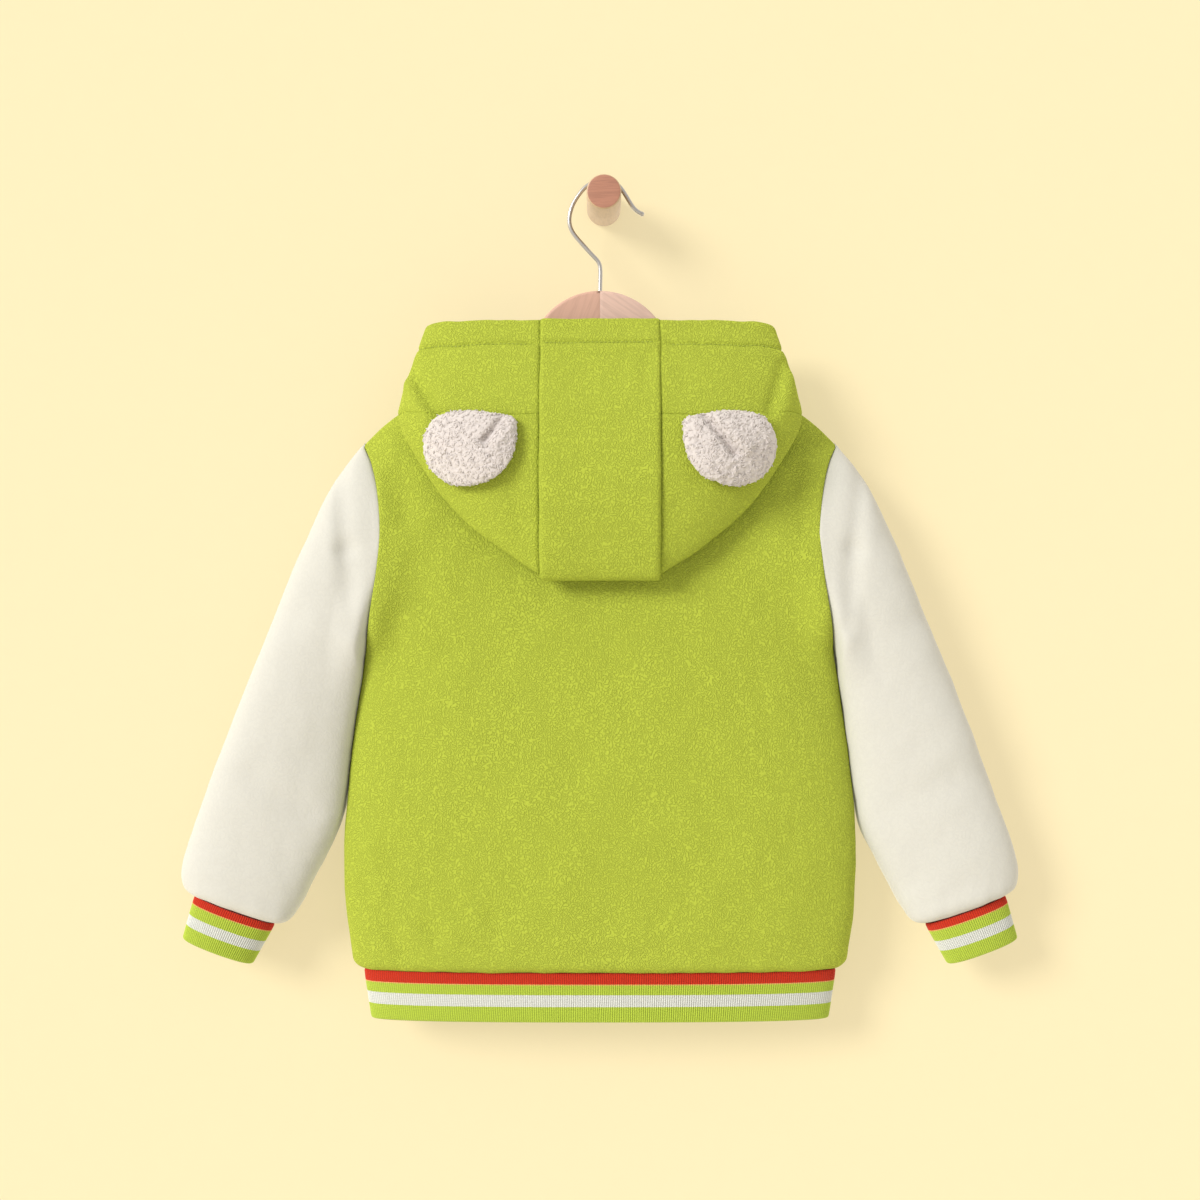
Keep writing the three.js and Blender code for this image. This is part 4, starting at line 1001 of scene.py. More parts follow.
def knit_band(name, point_at, start, end, height, finish_name, nodes, closed, mirror=False):
    """A doubled band of knitted rib: raised ribs outside and a plain wall inside, folded at its
    free end."""
    sizes = bpy.context.scene.jacket_sizes
    rise, thick = sizes.rib_rise / MM, sizes.rib_wall / MM
    middle = lambda a: point_at(np.full_like(a, 0.5), a, np.zeros_like(a))
    fine = middle(np.linspace(start, end, 3000))
    round_it = np.linalg.norm(np.diff(fine, axis=0), axis=1).sum()
    ribs = round(round_it / (sizes.rib_pitch / MM))
    per_rib = 4
    angles = even_places(middle, start, end, ribs * per_rib)
    angles = angles[:-1] if closed else angles
    phase = np.arange(len(angles)) / per_rib
    levels = np.concatenate([[0, 0.015], np.linspace(0.05, 0.93, 8), [0.965, 0.985, 1.0]])
    level, angle = np.meshgrid(levels, angles, indexing="ij")
    way = 1 if end > start else -1
    drift = 0.16 * ripple(middle(angles), 30, 71)[None] * np.sin(level * 5)
    bend = way * drift * abs(end - start) / ribs
    ridge = 0.5 - 0.5 * np.cos(2 * math.pi * phase)
    ridge = np.broadcast_to(ridge**0.8, level.shape)
    fold = 1.35 * (1 - np.sqrt(1 - np.clip((level * height - height + 2.2) / 2.2, 0, 1) ** 2 * 0.98))
    seam_dip = 0.9 * np.exp(-((level * height / 1.6) ** 2))
    inset = rise * 0.6 - rise * ridge + fold + seam_dip
    inner_inset = rise + thick - np.minimum(fold, 0.9)
    outer = point_at(level, angle + bend, inset)
    inner = point_at(level, angle, inner_inset)
    if mirror:
        outer, inner, ridge = mirrored(outer), mirrored(inner), ridge[:, ::-1]
    points = np.concatenate([outer.reshape(-1, 3), inner.reshape(-1, 3)]) + HANG
    faces = shell_faces(*level.shape, closed)
    piece = make_piece(name, points, faces, finish(finish_name), nodes)
    keep_values(piece, "course", np.concatenate([(level * height).ravel()] * 2))
    # The ridge values let the rib's material paint shade into the valleys between ribs and, at a fixed level, onto
    # the inner wall
    keep_values(piece, "ridge", np.concatenate([ridge.ravel(), np.full(ridge.size, 0.4)]))
    return piece


# ---- The hood's shape ------------------------------------------------------------------------

ear_seam_at = curve_of(EAR_SEAM, "station", "along")
strip_rise = curve_of(STRIP_RISE, "along", "rise")
strip_share = curve_of(STRIP_SHAPE, "x", "share")


def neck_edge(neck_z, point_at, start):
    x = np.linspace(start, NECK_X, 80)
    return point_at(x, neck_z(x))


BACK_EDGE = neck_edge(back_neck_z, back_point, 0.0)
FRONT_EDGE = neck_edge(front_neck_z, front_point, ZIP_EDGE)


def above_neck(edge, x, gap=0.5):
    """Places a seam's gap inside a body panel's neck edge."""
    way = np.gradient(edge, axis=0)
    side = np.stack([-way[:, 2], 0 * way[:, 0], way[:, 0]], 1)
    side /= np.linalg.norm(side, axis=1)[:, None]
    return places_at(x, edge[:, 0], edge) + gap * places_at(x, edge[:, 0], side)


def neckline_point(station):
    from_neck = (station - NECK_STATION) / 4
    front_x = NECK_X - (NECK_X - HOOD_END_X) * np.maximum(from_neck, 0) ** 2.5
    back_x = NECK_X + (NECK_X - STRIP_EDGE) * 4 * np.minimum(from_neck, 0) / NECK_STATION
    return np.where((from_neck > 0)[:, None], above_neck(FRONT_EDGE, front_x), above_neck(BACK_EDGE, back_x))


def hood_point(station, along):
    """The hood at a station round the neck and from 0 at the neckline to 1 at its opening."""
    keys = spline_at(HOOD.reshape(len(HOOD), -1), station).reshape(-1, HOOD_KEYS, 3)
    line = np.concatenate([neckline_point(station)[:, None], keys], axis=1)
    return spline_at(line.transpose(1, 0, 2), HOOD_KEYS * along)


def fold_step(along, pull=1.8):
    return signed_power(2 * along - 1, 1 / pull)


def fold_along(step, pull=1.8):
    return 0.5 + signed_power(step, pull) / 2


def hood_grid(stations, rows, lowest, highest):
    """A side panel between two curves across the meridians, from its upper edge down."""
    down = with_lips(rows, 120.0)
    low, high = fold_step(lowest(stations)), fold_step(highest(stations))
    along = fold_along(high + (low - high) * down[:, None])
    station = np.broadcast_to(stations, along.shape)
    return hood_point(station.ravel(), along.ravel()).reshape(*along.shape, 3)


def hood_relief(folds, seed, hem=False):
    """Unevenness, pressed folds and, at the opening, a stitched hem."""

    def relief(grid, normals, edges):
        lift = soft_cloth(grid, edges, seed, 38)
        lift = lift - troughs(folds, grid[..., 0], grid[..., 2]) * smooth(-normals[..., 1] * 2)
        if hem:
            beside = np.minimum(edges["left"], edges["right"])
            lift = lift + hem_relief(grid, edges["top"], seed + 3) * smooth(beside / 5)
        return lift

    return relief


def hem_relief(grid, down, seed):
    """A doubled edge, stitched down along a groove with small puckers beside it."""
    depth = bpy.context.scene.jacket_sizes.hood_hem / MM
    proud = 0.5 * smooth((depth - down) / 4)
    groove = 1.25 * np.exp(-(((down - depth) / 1.25) ** 2))
    pucker = 0.3 * ripple(grid, 8, seed) * np.exp(-(((down - depth) / 4) ** 2))
    swell = 0.6 * np.exp(-(((down - depth - 6.5) / 4.5) ** 2))
    return proud + pucker + swell - groove


def with_hem_rows(grid, rows):
    """The grid with even rows, closest together from its top edge to past the hood's hem."""
    near = np.concatenate([[0, 0.35, 0.9, 1.8], np.arange(3.0, 31.0, 0.9)])
    way = lengths_along(grid, 0)
    made = np.empty((len(near) + rows, *grid.shape[1:]))
    for column in range(grid.shape[1]):
        length = way[-1, column]
        close = near * min(1.0, 0.55 * length / near[-1])
        rest = close[-1] + (length - close[-1]) * np.linspace(0, 1, rows - 3)[1:]
        lips = [length - 3, length - 1.8, length - 0.9, length - 0.35]
        where = np.sort(np.concatenate([close, rest, lips]))
        made[:, column] = places_at(where, way[:, column], grid[:, column])
    return made


def strip_point(x, along):
    """The centre strip stands proud of the first meridian, with boxy edges."""
    edge = above_neck(BACK_EDGE, np.abs(x))
    keys = np.broadcast_to(HOOD[0][:, None], (HOOD_KEYS, len(x), 3))
    line = np.concatenate([edge[None], keys])
    line = np.stack([np.broadcast_to(x, line.shape[:2]), line[..., 1], line[..., 2]], -1)
    step = 1e-3
    ahead, behind = np.minimum(along + step, 1), np.maximum(along - step, 0)
    way = spline_at(line, HOOD_KEYS * ahead) - spline_at(line, HOOD_KEYS * behind)
    out = np.stack([0 * x, -way[:, 2], way[:, 1]], 1)
    out /= np.linalg.norm(out, axis=1)[:, None]
    rise = strip_rise(along) * strip_share(np.abs(x))
    return spline_at(line, HOOD_KEYS * along) + out * rise[:, None]


def hood_face_y(x, z):
    """The y of the hood's outer face at places seen from outside."""
    station, along, step = np.full_like(x, 2.0), np.full_like(x, 0.75), 1e-3
    for _ in range(14):
        p = hood_point(station, along)
        ds = (hood_point(station + step, along) - p) / step
        dr = (hood_point(station, along + step) - p) / step
        ex, ez = x - p[:, 0], z - p[:, 2]
        det = ds[:, 0] * dr[:, 2] - dr[:, 0] * ds[:, 2]
        station = np.clip(station + (ex * dr[:, 2] - ez * dr[:, 0]) / det, 0, 4.5)
        along = np.clip(along + (ez * ds[:, 0] - ex * ds[:, 2]) / det, 0.55, 0.99)
    return hood_point(station, along)[:, 1]


def round_points(outline, count):
    """Even places on a closed Catmull-Rom curve through an outline of x and z."""
    points = np.stack([outline["x"], outline["z"]], 1)
    n = len(points)
    looped = np.concatenate([points[-2:], points, points[:3]])
    return spline_at(looped, np.arange(count) * n / count + 2)


# ---- Operators: cloth ------------------------------------------------------------------------


class MakeBody(bpy.types.Operator):
    """Sews the back and both fronts"""

    bl_idname = "jacket.body"
    bl_label = "Body"

    def execute(self, context):
        lime = finish("Lime fleece")
        half = with_lips(fineness(0.055), 188.0)[1:]
        shares = np.concatenate([-half[::-1], [0], half])
        shares = shares[(np.abs(shares) > 0.018) | (shares == 0)]
        grid = body_grid(shares, 0.0, back_neck_z, back_point, fineness(0.09))
        grid = wavy_end(grid, 3)
        kinds = {"bottom": GATHERED, "left": FLUSH, "right": FLUSH}
        piece, *_ = sew_cloth("back_cloth", grid, lime, ["back"], fleece_relief(11), kinds)
        shares = with_lips(fineness(0.05), 188.0)[::-1]
        grid = wavy_end(body_grid(shares, ZIP_EDGE, front_neck_z, front_point, fineness(0.07)), 4)
        for side, panel in (("right", grid), ("left", mirrored(grid))):
            name = f"front_{side}"
            relief = fleece_relief(21 if side == "right" else 31)
            zip_edge = "left" if side == "right" else "right"
            kinds = {"left": FLUSH, "right": FLUSH, "bottom": GATHERED, zip_edge: FREE}
            piece, outer, normals, _ = sew_cloth(
                name + "_cloth", panel, lime, [name], relief, kinds
            )
            column = 5 if zip_edge == "left" else panel.shape[1] - 6
            line, out = outer[4:-4, column], normals[4:-4, column]
            stitch_line(f"zip_stitches_{side}", line, out, finish("Lime thread"))
        return {"FINISHED"}


class MakeSleeves(bpy.types.Operator):
    """Sews both sleeves"""

    bl_idname = "jacket.sleeves"
    bl_label = "Sleeves"

    def execute(self, context):
        grid = wavy_end(sleeve_grid(), 5)
        for side, panel, seed in (("right", grid, 41), ("left", mirrored(grid), 51)):
            name = f"sleeve_{side}"
            cream, kinds = finish("Cream fleece"), {"top": FLUSH, "bottom": GATHERED}
            piece, *_ = sew_cloth(
                name + "_cloth", panel, cream, [name], sleeve_relief(seed), kinds, True
            )
        return {"FINISHED"}


class MakeRibs(bpy.types.Operator):
    """Knits the hem band and both cuffs"""

    bl_idname = "jacket.ribs"
    bl_label = "Ribs"

    def execute(self, context):
        end = (ZIP_EDGE + 0.4) / HEM["half"][0]
        gap = math.asin(end ** (SIDE_ROUND / 2))
        knit_band(
            "hem_rib", hem_point, 1.5 * math.pi - gap, -0.5 * math.pi + gap, HEM_HEIGHT,
            "Hem rib", ["hem_band"], False,
        )
        for side in ("right", "left"):
            knit_band(
                f"cuff_{side}_rib", cuff_point, 0.0, -2 * math.pi, CUFF_HEIGHT,
                "Cuff rib", [f"cuff_{side}"], True, side == "left",
            )
        return {"FINISHED"}


class MakeHood(bpy.types.Operator):
    """Sews the hood's centre strip and its side panels, and stitches its hem"""

    bl_idname = "jacket.hood"
    bl_label = "Hood"

    def execute(self, context):
        lime, thread = finish("Lime fleece"), finish("Lime thread")
        seam_point = lambda s: hood_point(s, ear_seam_at(s))
        stations = even_places(seam_point, 0.0, SEAM_END, fineness(0.06))
        past_seam = np.linspace(SEAM_END + 0.02, 7, fineness(0.02))
        hems = []
        back = hood_grid(stations, fineness(0.05), np.zeros_like, ear_seam_at)
        lowest = lambda s: np.where(s > SEAM_END, 0.0, ear_seam_at(s))
        front = hood_grid(np.concatenate([stations, past_seam]), 200, lowest, np.ones_like)
        front = with_hem_rows(front, fineness(0.02))
        wavy_end(front[::-1], 64, 10, 1.8)
        left_folds = other_side(HOOD_FOLDS_LEFT)
        for side, folds, seed in (("right", HOOD_FOLDS_RIGHT, 61), ("left", left_folds, 71)):
            rear, fore = (back, front) if side == "right" else (mirrored(back), mirrored(front))
            name = f"hood_side_back_{side}"
            relief = hood_relief(folds, seed)
            piece, *_ = sew_cloth(
                name + "_cloth", rear, lime, [name], relief, {"top": DEEP}
            )
            name = f"hood_side_front_{side}"
            relief = hood_relief(folds, seed + 4, True)
            kinds = {"top": FREE, "bottom": DEEP}
            piece, outer, normals, edges = sew_cloth(
                name + "_cloth", fore, lime, [name], relief, kinds
            )
            hems.append(self.hem_line(outer, normals, edges))
        across = -STRIP_HALF + 2 * STRIP_HALF * with_lips(fineness(0.035), 91.0)
        down = with_lips(fineness(0.2), 400.0)
        along = fold_along(1 - 2 * down)
        x, a = np.meshgrid(across, along)
        strip = strip_point(x.ravel(), a.ravel()).reshape(len(along), len(across), 3)
        wander = 0.5 + 0.5 * ripple(strip * np.array([0.2, 1, 1]), 34, 83)
        strip[..., 0] += 0.9 * wander * signed_power(strip[..., 0] / STRIP_EDGE, 5)
        strip = with_hem_rows(strip, fineness(0.1))
        wavy_end(strip[::-1], 84, 10, 1.8)
        relief = hood_relief(STRIP_FOLDS, 81, True)
        piece, outer, normals, edges = sew_cloth(
            "hood_centre_cloth", strip, lime, ["hood_centre"], relief, {"top": FREE}
        )
        hems.append(self.hem_line(outer, normals, edges))
        for label, (line, out) in zip(("right", "left", "centre"), hems):
            stitch_line(f"hood_stitches_{label}", line, out, thread)
        return {"FINISHED"}

    def hem_line(self, outer, normals, edges):
        """Where the hem's stitches run, on each column of the cloth."""
        depth = bpy.context.scene.jacket_sizes.hood_hem / MM
        columns = [j for j in range(3, outer.shape[1] - 3) if edges["top"][-1, j] > depth + 6]
        line, out = [], []
        for j in columns:
            where = edges["top"][:, j]
            line.append(places_at(depth, where, outer[:, j]))
            out.append(places_at(depth, where, normals[:, j]))
        return np.array(line), np.array(out)


class MakeEars(bpy.types.Operator):
    """Makes both ears from curly sherpa"""

    bl_idname = "jacket.ears"
    bl_label = "Ears"

    def execute(self, context):
        for side, seed in (("right", 91), ("left", 92)):
            self.make_ear(side, seed)
        return {"FINISHED"}

    def make_ear(self, side, seed):
        around, layers = fineness(0.13), fineness(0.06)
        rim = round_points(EAR_OUTLINE, around)
        q = -1 + 2 * (np.arange(1, layers) / layers)
        reach = np.maximum(np.cos(q * math.pi / 2), 0) ** 0.75
        middle = np.array(EAR_MIDDLE)
        flat = middle + (rim[None] - middle) * reach[:, None, None] * 0.985
        depth = np.broadcast_to(q[:, None], flat.shape[:2])
        ring = self.place(flat[..., 0].ravel(), flat[..., 1].ravel(), depth.ravel(), side)
        smooth_ring = ring.reshape(layers - 1, around, 3)
        poles = self.place(np.full(2, middle[0]), np.full(2, middle[1]), np.array([-1.0, 1.0]), side)
        curl, ring = self.curls(smooth_ring, seed)
        ids = np.arange(ring.shape[0] * around).reshape(-1, around)
        right = np.roll(ids, -1, 1)
        faces = quads_between(ids, right).tolist()
        first = ids.size
        faces += [[first, ids[0][j], right[0][j]] for j in range(around)]
        faces += [[first + 1, right[-1][j], ids[-1][j]] for j in range(around)]
        points = np.concatenate([ring.reshape(-1, 3), poles])
        if side == "left":
            points, faces = swapped(points, faces)
        pile = finish("Sherpa pile")
        piece = make_piece(f"ear_{side}_sherpa", points + HANG, faces, pile, [f"ear_{side}"])
        # The curl values let the sherpa's material paint shade low between the curls
        keep_values(piece, "curl", np.concatenate([curl.ravel(), [0.5, 0.5]]))
        points, faces = self.loops(ring, grid_normals(smooth_ring, True), seed + 10)
        if side == "left":
            points, faces = swapped(points, faces)
        tufts = make_piece(f"ear_{side}_tufts", points + HANG, faces, pile)
        # The tufts get one fixed, lighter level of that painted shade
        keep_values(tufts, "curl", np.full(len(points), 0.75))

    def loops(self, ring, normals, seed):
        """Short curled ends of yarn all over the pile: points and faces."""
        draw = np.random.default_rng(seed)
        base, out = ring.reshape(-1, 3), normals.reshape(-1, 3)
        down, across = np.gradient(ring, axis=0), np.gradient(ring, axis=1)
        share = np.linalg.norm(np.cross(down, across), axis=2).ravel()
        share[base[:, 1] > np.median(base[:, 1]) + 4] *= 0.5
        count = int(TUFTS * (1))
        pick = draw.choice(len(base), count, replace=False, p=share / share.sum())
        base, out = base[pick], out[pick]
        side = np.cross(out, draw.normal(size=(count, 3)))
        side /= np.linalg.norm(side, axis=1, keepdims=True)
        third = np.cross(out, side)
        radius = draw.uniform(0.75, 1.35, (count, 1, 1))
        turn = np.linspace(0.1, 1.15 * math.pi, 6)[None, :, None]
        bow = side[:, None] * (1 - np.cos(turn)) + 0.6 * out[:, None] * np.sin(turn)
        line = base[:, None] + radius * bow
        line = line + third[:, None] * 0.28 * turn * draw.uniform(-1, 1, (count, 1, 1)) - 0.45 * out[:, None]
        way = np.gradient(line, axis=1)
        way /= np.linalg.norm(way, axis=2, keepdims=True)
        one = np.cross(way, third[:, None])
        one /= np.linalg.norm(one, axis=2, keepdims=True)
        two = np.cross(way, one)
        thick = 0.52 * np.array([0.9, 1, 1, 0.95, 0.8, 0.35])[None, :, None]
        skin = np.stack([line + thick * u for u in (one, two, -one, -two)], 2)
        ids = np.arange(count * 24).reshape(count, 6, 4)
        near, far = ids[:, :-1], ids[:, 1:]
        quads = np.stack([near, np.roll(near, -1, 2), np.roll(far, -1, 2), far], -1).reshape(-1, 4)
        caps = np.concatenate([ids[:, 0, ::-1], ids[:, -1]])
        return skin.reshape(-1, 3), np.concatenate([quads, caps]).tolist()

    def place(self, x, z, q, side):
        below = np.clip((EAR_OUTLINE["z"][0] - z) / 50, 0, 1)
        stand = EAR_STAND + EAR_LEAN * below
        pleat = np.where(q < 0, troughs(EAR_PLEATS[side], x, z) * np.sqrt(np.maximum(-q, 0)), 0)
        y = hood_face_y(x, z) - stand + (EAR_HALF - 1.0) * np.sin(q * math.pi / 2) + pleat
        return np.stack([x, y, z], -1)

    def curls(self, ring, seed):
        """Raises lumps of curled pile all round the ear, and gives their heights."""
        size = bpy.context.scene.jacket_sizes.curl / MM
        normals = grid_normals(ring, True)
        draw = np.random.default_rng(seed)
        flat = ring.reshape(-1, 3)
        count = int(9000 / size**2)
        seeds = flat[draw.choice(len(flat), min(count * 3, len(flat)), replace=False)]
        kept = []
        for point in seeds:
            if all(np.sum((point - other) ** 2) > (0.72 * size) ** 2 for other in kept):
                kept.append(point)
        kept = np.array(kept)
        swirl = flat + 0.9 * np.stack([ripple(flat, 5, seed + k) for k in range(3)], 1)
        near = np.full(len(flat), 1e9)
        for start in range(0, len(kept), 64):
            gap = np.linalg.norm(swirl[:, None] - kept[None, start : start + 64], axis=2)
            near = np.minimum(near, gap.min(axis=1))
        lump = np.sqrt(np.clip(1 - (near / (0.75 * size)) ** 2, 0, 1))
        lump = (0.8 * lump + 0.2 * (0.5 + 0.5 * ripple(flat, 2.2, seed + 7))).reshape(ring.shape[:2])
        return lump, ring + normals * (1.3 * lump - 0.7)[..., None]


# ---- Operators: zip, hanger, hook and peg ----------------------------------------------------

ZIP_TOP_Z = -205.5
ZIP_SINK = 0.8
TEETH_RISE = 1.2
TAPE_ACROSS = np.array([0.9, 2.0, 3.4, 7.0])  # its columns, from the zip's middle
TAPE_HALF, TAPE_ROWS = 0.45, 120
STOP_ACROSS = (0.2, 3.0)


def zip_face_y(z):
    """The outer face of the closed front at the zip."""
    level = np.clip((HEM["z"][0] - z) / (HEM["z"][0] - HEM["z"][1]), 0, 1)
    rib = MID_Y + HEM["front"][0] + (HEM["front"][1] - HEM["front"][0]) * level
    cloth = front_point(np.full_like(z, ZIP_EDGE), np.maximum(z, BODY_END_Z))[:, 1]
    return np.where(z >= BODY_END_Z, cloth, rib)


def tooth_points():
    """One moulded tooth, 3 mm across and rounded at its head."""
    outline = [(0.25, -0.5), (1.4, -0.62), (2.9, -0.75), (2.9, 0.75), (1.4, 0.62), (0.25, 0.5)]
    front = [(x - 0.6 * (x < 0.5), TEETH_RISE, z) for x, z in outline]
    mid = [(x - 0.9 * (x < 0.5), 0.0, z) for x, z in outline]
    back = [(x - 0.6 * (x < 0.5), -TEETH_RISE, z) for x, z in outline]
    points = np.array(back + mid + front, float)
    faces = [[0, 1, 2, 3, 4, 5], [17, 16, 15, 14, 13, 12]]
    for ring in (0, 6):
        faces += [[ring + j, ring + 6 + j, ring + 6 + (j + 1) % 6, ring + (j + 1) % 6] for j in range(6)]
    return points, faces


class MakeZip(bpy.types.Operator):
    """Makes the zip's tapes, teeth and stops, and finishes its slider and pull tab"""

    bl_idname = "jacket.zip"
    bl_label = "Zip"

    def execute(self, context):
        pitch = context.scene.jacket_sizes.tooth_pitch / MM
        z_end = HEM["z"][1]
        for side, way in (("right", 1), ("left", -1)):
            z = np.linspace(ZIP_TOP_Z, z_end, TAPE_ROWS)
            y = zip_face_y(z) - ZIP_SINK + TAPE_HALF
            shape = (TAPE_ROWS, len(TAPE_ACROSS))
            columns = (TAPE_ACROSS[None], y[:, None], z[:, None])
            front = np.stack([np.broadcast_to(c, shape) for c in columns], -1)[:, ::-1]
            back = front - np.array([0, 2 * TAPE_HALF, 0])
            points = np.concatenate([front.reshape(-1, 3), back.reshape(-1, 3)])
            faces = shell_faces(*shape, False)
            if way < 0:
                points, faces = swapped(points, faces)
            tape = make_piece(
                f"zip_tape_{side}", points + HANG, faces, finish("Zip tape"), [f"zip_{side}"]
            )
            tooth, tooth_faces = tooth_points()
            parts = []
            for at in np.arange(ZIP_TOP_Z - 4 - (pitch / 2 if way < 0 else 0), z_end + 4, -pitch):
                spot = np.array([0, float(zip_face_y(np.array([at]))[0]) - ZIP_SINK, at])
                parts.append((tooth + spot, tooth_faces))
            parts.append(self.stop(z_end + 2.8, 5.4))
            parts.append(self.stop(ZIP_TOP_Z - 1.7, 1.6))
            points, faces = gather(parts)
            if way < 0:
                points, faces = swapped(points, faces)
            plastic, name = finish("Zip plastic"), f"zip_teeth_{side}"
            make_piece(name, points + HANG, faces, plastic, smooth_faces=False)
        for name in ("zip_slider", "zip_pull"):
            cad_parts[name].data.materials.clear()
            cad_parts[name].data.materials.append(finish("Zip plastic"))
        return {"FINISHED"}

    def stop(self, z, height):
        """The block that ends a row of teeth."""
        y = float(zip_face_y(np.array([z]))[0]) - ZIP_SINK
        depths, levels = (y - TEETH_RISE, y + TEETH_RISE), (z - height / 2, z + height / 2)
        corners = np.array([[a, b, c] for a in STOP_ACROSS for b in depths for c in levels])
        faces = [[0, 1, 3, 2], [4, 6, 7, 5], [0, 4, 5, 1], [2, 3, 7, 6], [0, 2, 6, 4], [1, 5, 7, 3]]
        return corners, faces


class MakeHanger(bpy.types.Operator):
    """Makes the wooden hanger in two glued halves, and its steel hook"""

    bl_idname = "jacket.hanger"
    bl_label = "Hanger and hook"

    def execute(self, context):
        self.wood()
        self.wire()
        return {"FINISHED"}

    def outline(self):
        """Half the hanger, from the top of its joint round to the joint's foot: x and z."""
        turn = np.linspace(0, 1.6, 26)
        points = [(56 * math.sin(a), -128 + 56 * math.cos(a)) for a in turn]
        points += [(59, -140), (63, -144.5), (68, -146.4)]
        points += [(x, float(shoulder_z(x)) - 5.4) for x in np.linspace(82, 128, 12)]
        tip = float(shoulder_z(128.0)) - 14.4
        points += [(128 + 9 * math.cos(a), tip + 9 * math.sin(a)) for a in np.linspace(1.1, -1.5, 12)]
        points += [(102, float(shoulder_z(102.0)) - 29.4), (75, -168.5), (40, -160), (20, -158.4), (0, -158)]
        return [(max(x, 0.0), z) for x, z in points]

    def wood(self):
        mesh = bpy.data.meshes.new("hanger_wood")
        made = bmesh.new()
        y = (HANGER_Y - HANGER_HALF) * MM
        for way in (1, -1):
            outline = [(way * (x + (0.02 if x < 0.01 else 0)), z) for x, z in self.outline()]
            face = made.faces.new([made.verts.new(((x + HANG[0]) * MM, y, z * MM)) for x, z in outline])
            pushed = bmesh.ops.extrude_face_region(made, geom=[face])
            moved = [v for v in pushed["geom"] if isinstance(v, bmesh.types.BMVert)]
            bmesh.ops.translate(made, verts=moved, vec=(0, 2 * HANGER_HALF * MM, 0))
        bmesh.ops.recalc_face_normals(made, faces=made.faces)
        rims = [e for e in made.edges if abs(e.verts[0].co.y - e.verts[1].co.y) < 1e-6]
        joint = lambda e: all(abs(v.co.x - HANG[0] * MM) < 0.0003 for v in e.verts)
        round_rims = [e for e in rims if not joint(e)]
        rounding = {"offset": 2.4 * MM, "segments": 4, "profile": 0.5, "clamp_overlap": True}
        bmesh.ops.bevel(made, geom=round_rims, affect="EDGES", **rounding)
        made.to_mesh(mesh)
        made.free()
        mesh.polygons.foreach_set("use_smooth", [True] * len(mesh.polygons))
        mesh.materials.append(finish("Hanger wood"))
        mesh.materials.append(finish("Pale hanger wood"))
        for face in mesh.polygons:
            face.material_index = int(face.center.x > HANG[0] * MM)
        piece = add_object("hanger_wood", mesh)
        modifier = piece.modifiers.new("Even shading", "WEIGHTED_NORMAL")
        modifier.keep_sharp = True
        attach(piece, "jacket")
        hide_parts("hanger")

    def wire(self):
        keys = np.stack([HOOK_PATH["x"], np.full_like(HOOK_PATH["x"], HANGER_Y), HOOK_PATH["z"]], 1)
        path = spline_at(keys, np.linspace(0, len(keys) - 1, 600))
        way = way_along(path)
        path = places_at(np.linspace(0, way[-1], 200), way, path)
        for _ in range(24):
            path[1:-1] = (path[:-2] + 2 * path[1:-1] + path[2:]) / 4
        parts = [sweep(path, WIRE_RADIUS, WIRE_SIDES)]
        steps = np.linspace(-1, 1, 15)
        onward = path[-1] - path[-2]
        onward /= np.linalg.norm(onward)
        ball = path[-1] + WIRE_TIP * steps[:, None] * onward
        parts.append(sweep(ball, WIRE_TIP * np.sqrt(np.clip(1.0001 - steps**2, 0, 1)), WIRE_SIDES))
        points, faces = gather(parts)
        make_piece("hook_wire", points, faces, finish("Hook steel"), ["hanger_hook"])


class MakePeg(bpy.types.Operator):
    """Turns the wall peg"""

    bl_idname = "jacket.peg"
    bl_label = "Wall peg"

    def execute(self, context):
        turn = np.linspace(0, math.pi / 2, 7)
        profile = [(PEG_RADIUS, 0.0), (PEG_RADIUS, PEG_LENGTH * 0.5)]
        profile += [
            (PEG_RADIUS - PEG_EDGE * (1 - math.cos(a)), PEG_LENGTH - PEG_EDGE * (1 - math.sin(a)))
            for a in turn
        ]
        profile.append((PEG_RADIUS * 0.5, PEG_LENGTH))
        angles = np.arange(PEG_SIDES) * 2 * math.pi / PEG_SIDES
        points = [(0, 0, 0)]
        for r, y in profile:
            points += [(r * math.cos(a), -y, r * math.sin(a)) for a in angles]
        points.append((0, -PEG_LENGTH, 0))
        faces = []
        for k in range(len(profile) - 1):
            for j in range(PEG_SIDES):
                a, b = 1 + k * PEG_SIDES + j, 1 + k * PEG_SIDES + (j + 1) % PEG_SIDES
                faces.append([a, b, b + PEG_SIDES, a + PEG_SIDES])
        last = len(points) - 1
        for j in range(PEG_SIDES):
            a, b = j, (j + 1) % PEG_SIDES
            faces.append([0, 1 + b, 1 + a])
            faces.append([last, last - PEG_SIDES + a, last - PEG_SIDES + b])
        points, wood = np.array(points, float), finish("Peg wood")
        piece = make_piece("peg_wood", points, faces, wood, ["wall_peg"])
        piece.data.materials.append(finish("Peg end grain"))
        for face in piece.data.polygons:
            if face.normal.y < -0.9:
                face.material_index = 1
        return {"FINISHED"}


# ---- Operator: stage -------------------------------------------------------------------------

# In metres, and the key light's softness in degrees.
ROOM, FLOOR_Z, WALL_TOP, WALL_Y = 6, -1.2, 4, 0.0012
CAMERA_Y, CAMERA_Z, LENS = -1.46, -0.3145, 54.4
KEY_WAY, KEY_STRENGTH, KEY_SOFTNESS, KEY_TINT = (0.68, 0.65, -0.38), 2.85, 22.0, (1.0, 0.99, 0.96)
SKY_TINT, SKY_STRENGTH = (1.0, 0.985, 0.95, 1), 0.78
WALL_GLOW = 1.66
WALL_BOUNCE = (0.58, 0.55, 0.48, 1)  # the tone that the wall throws on what hangs before it

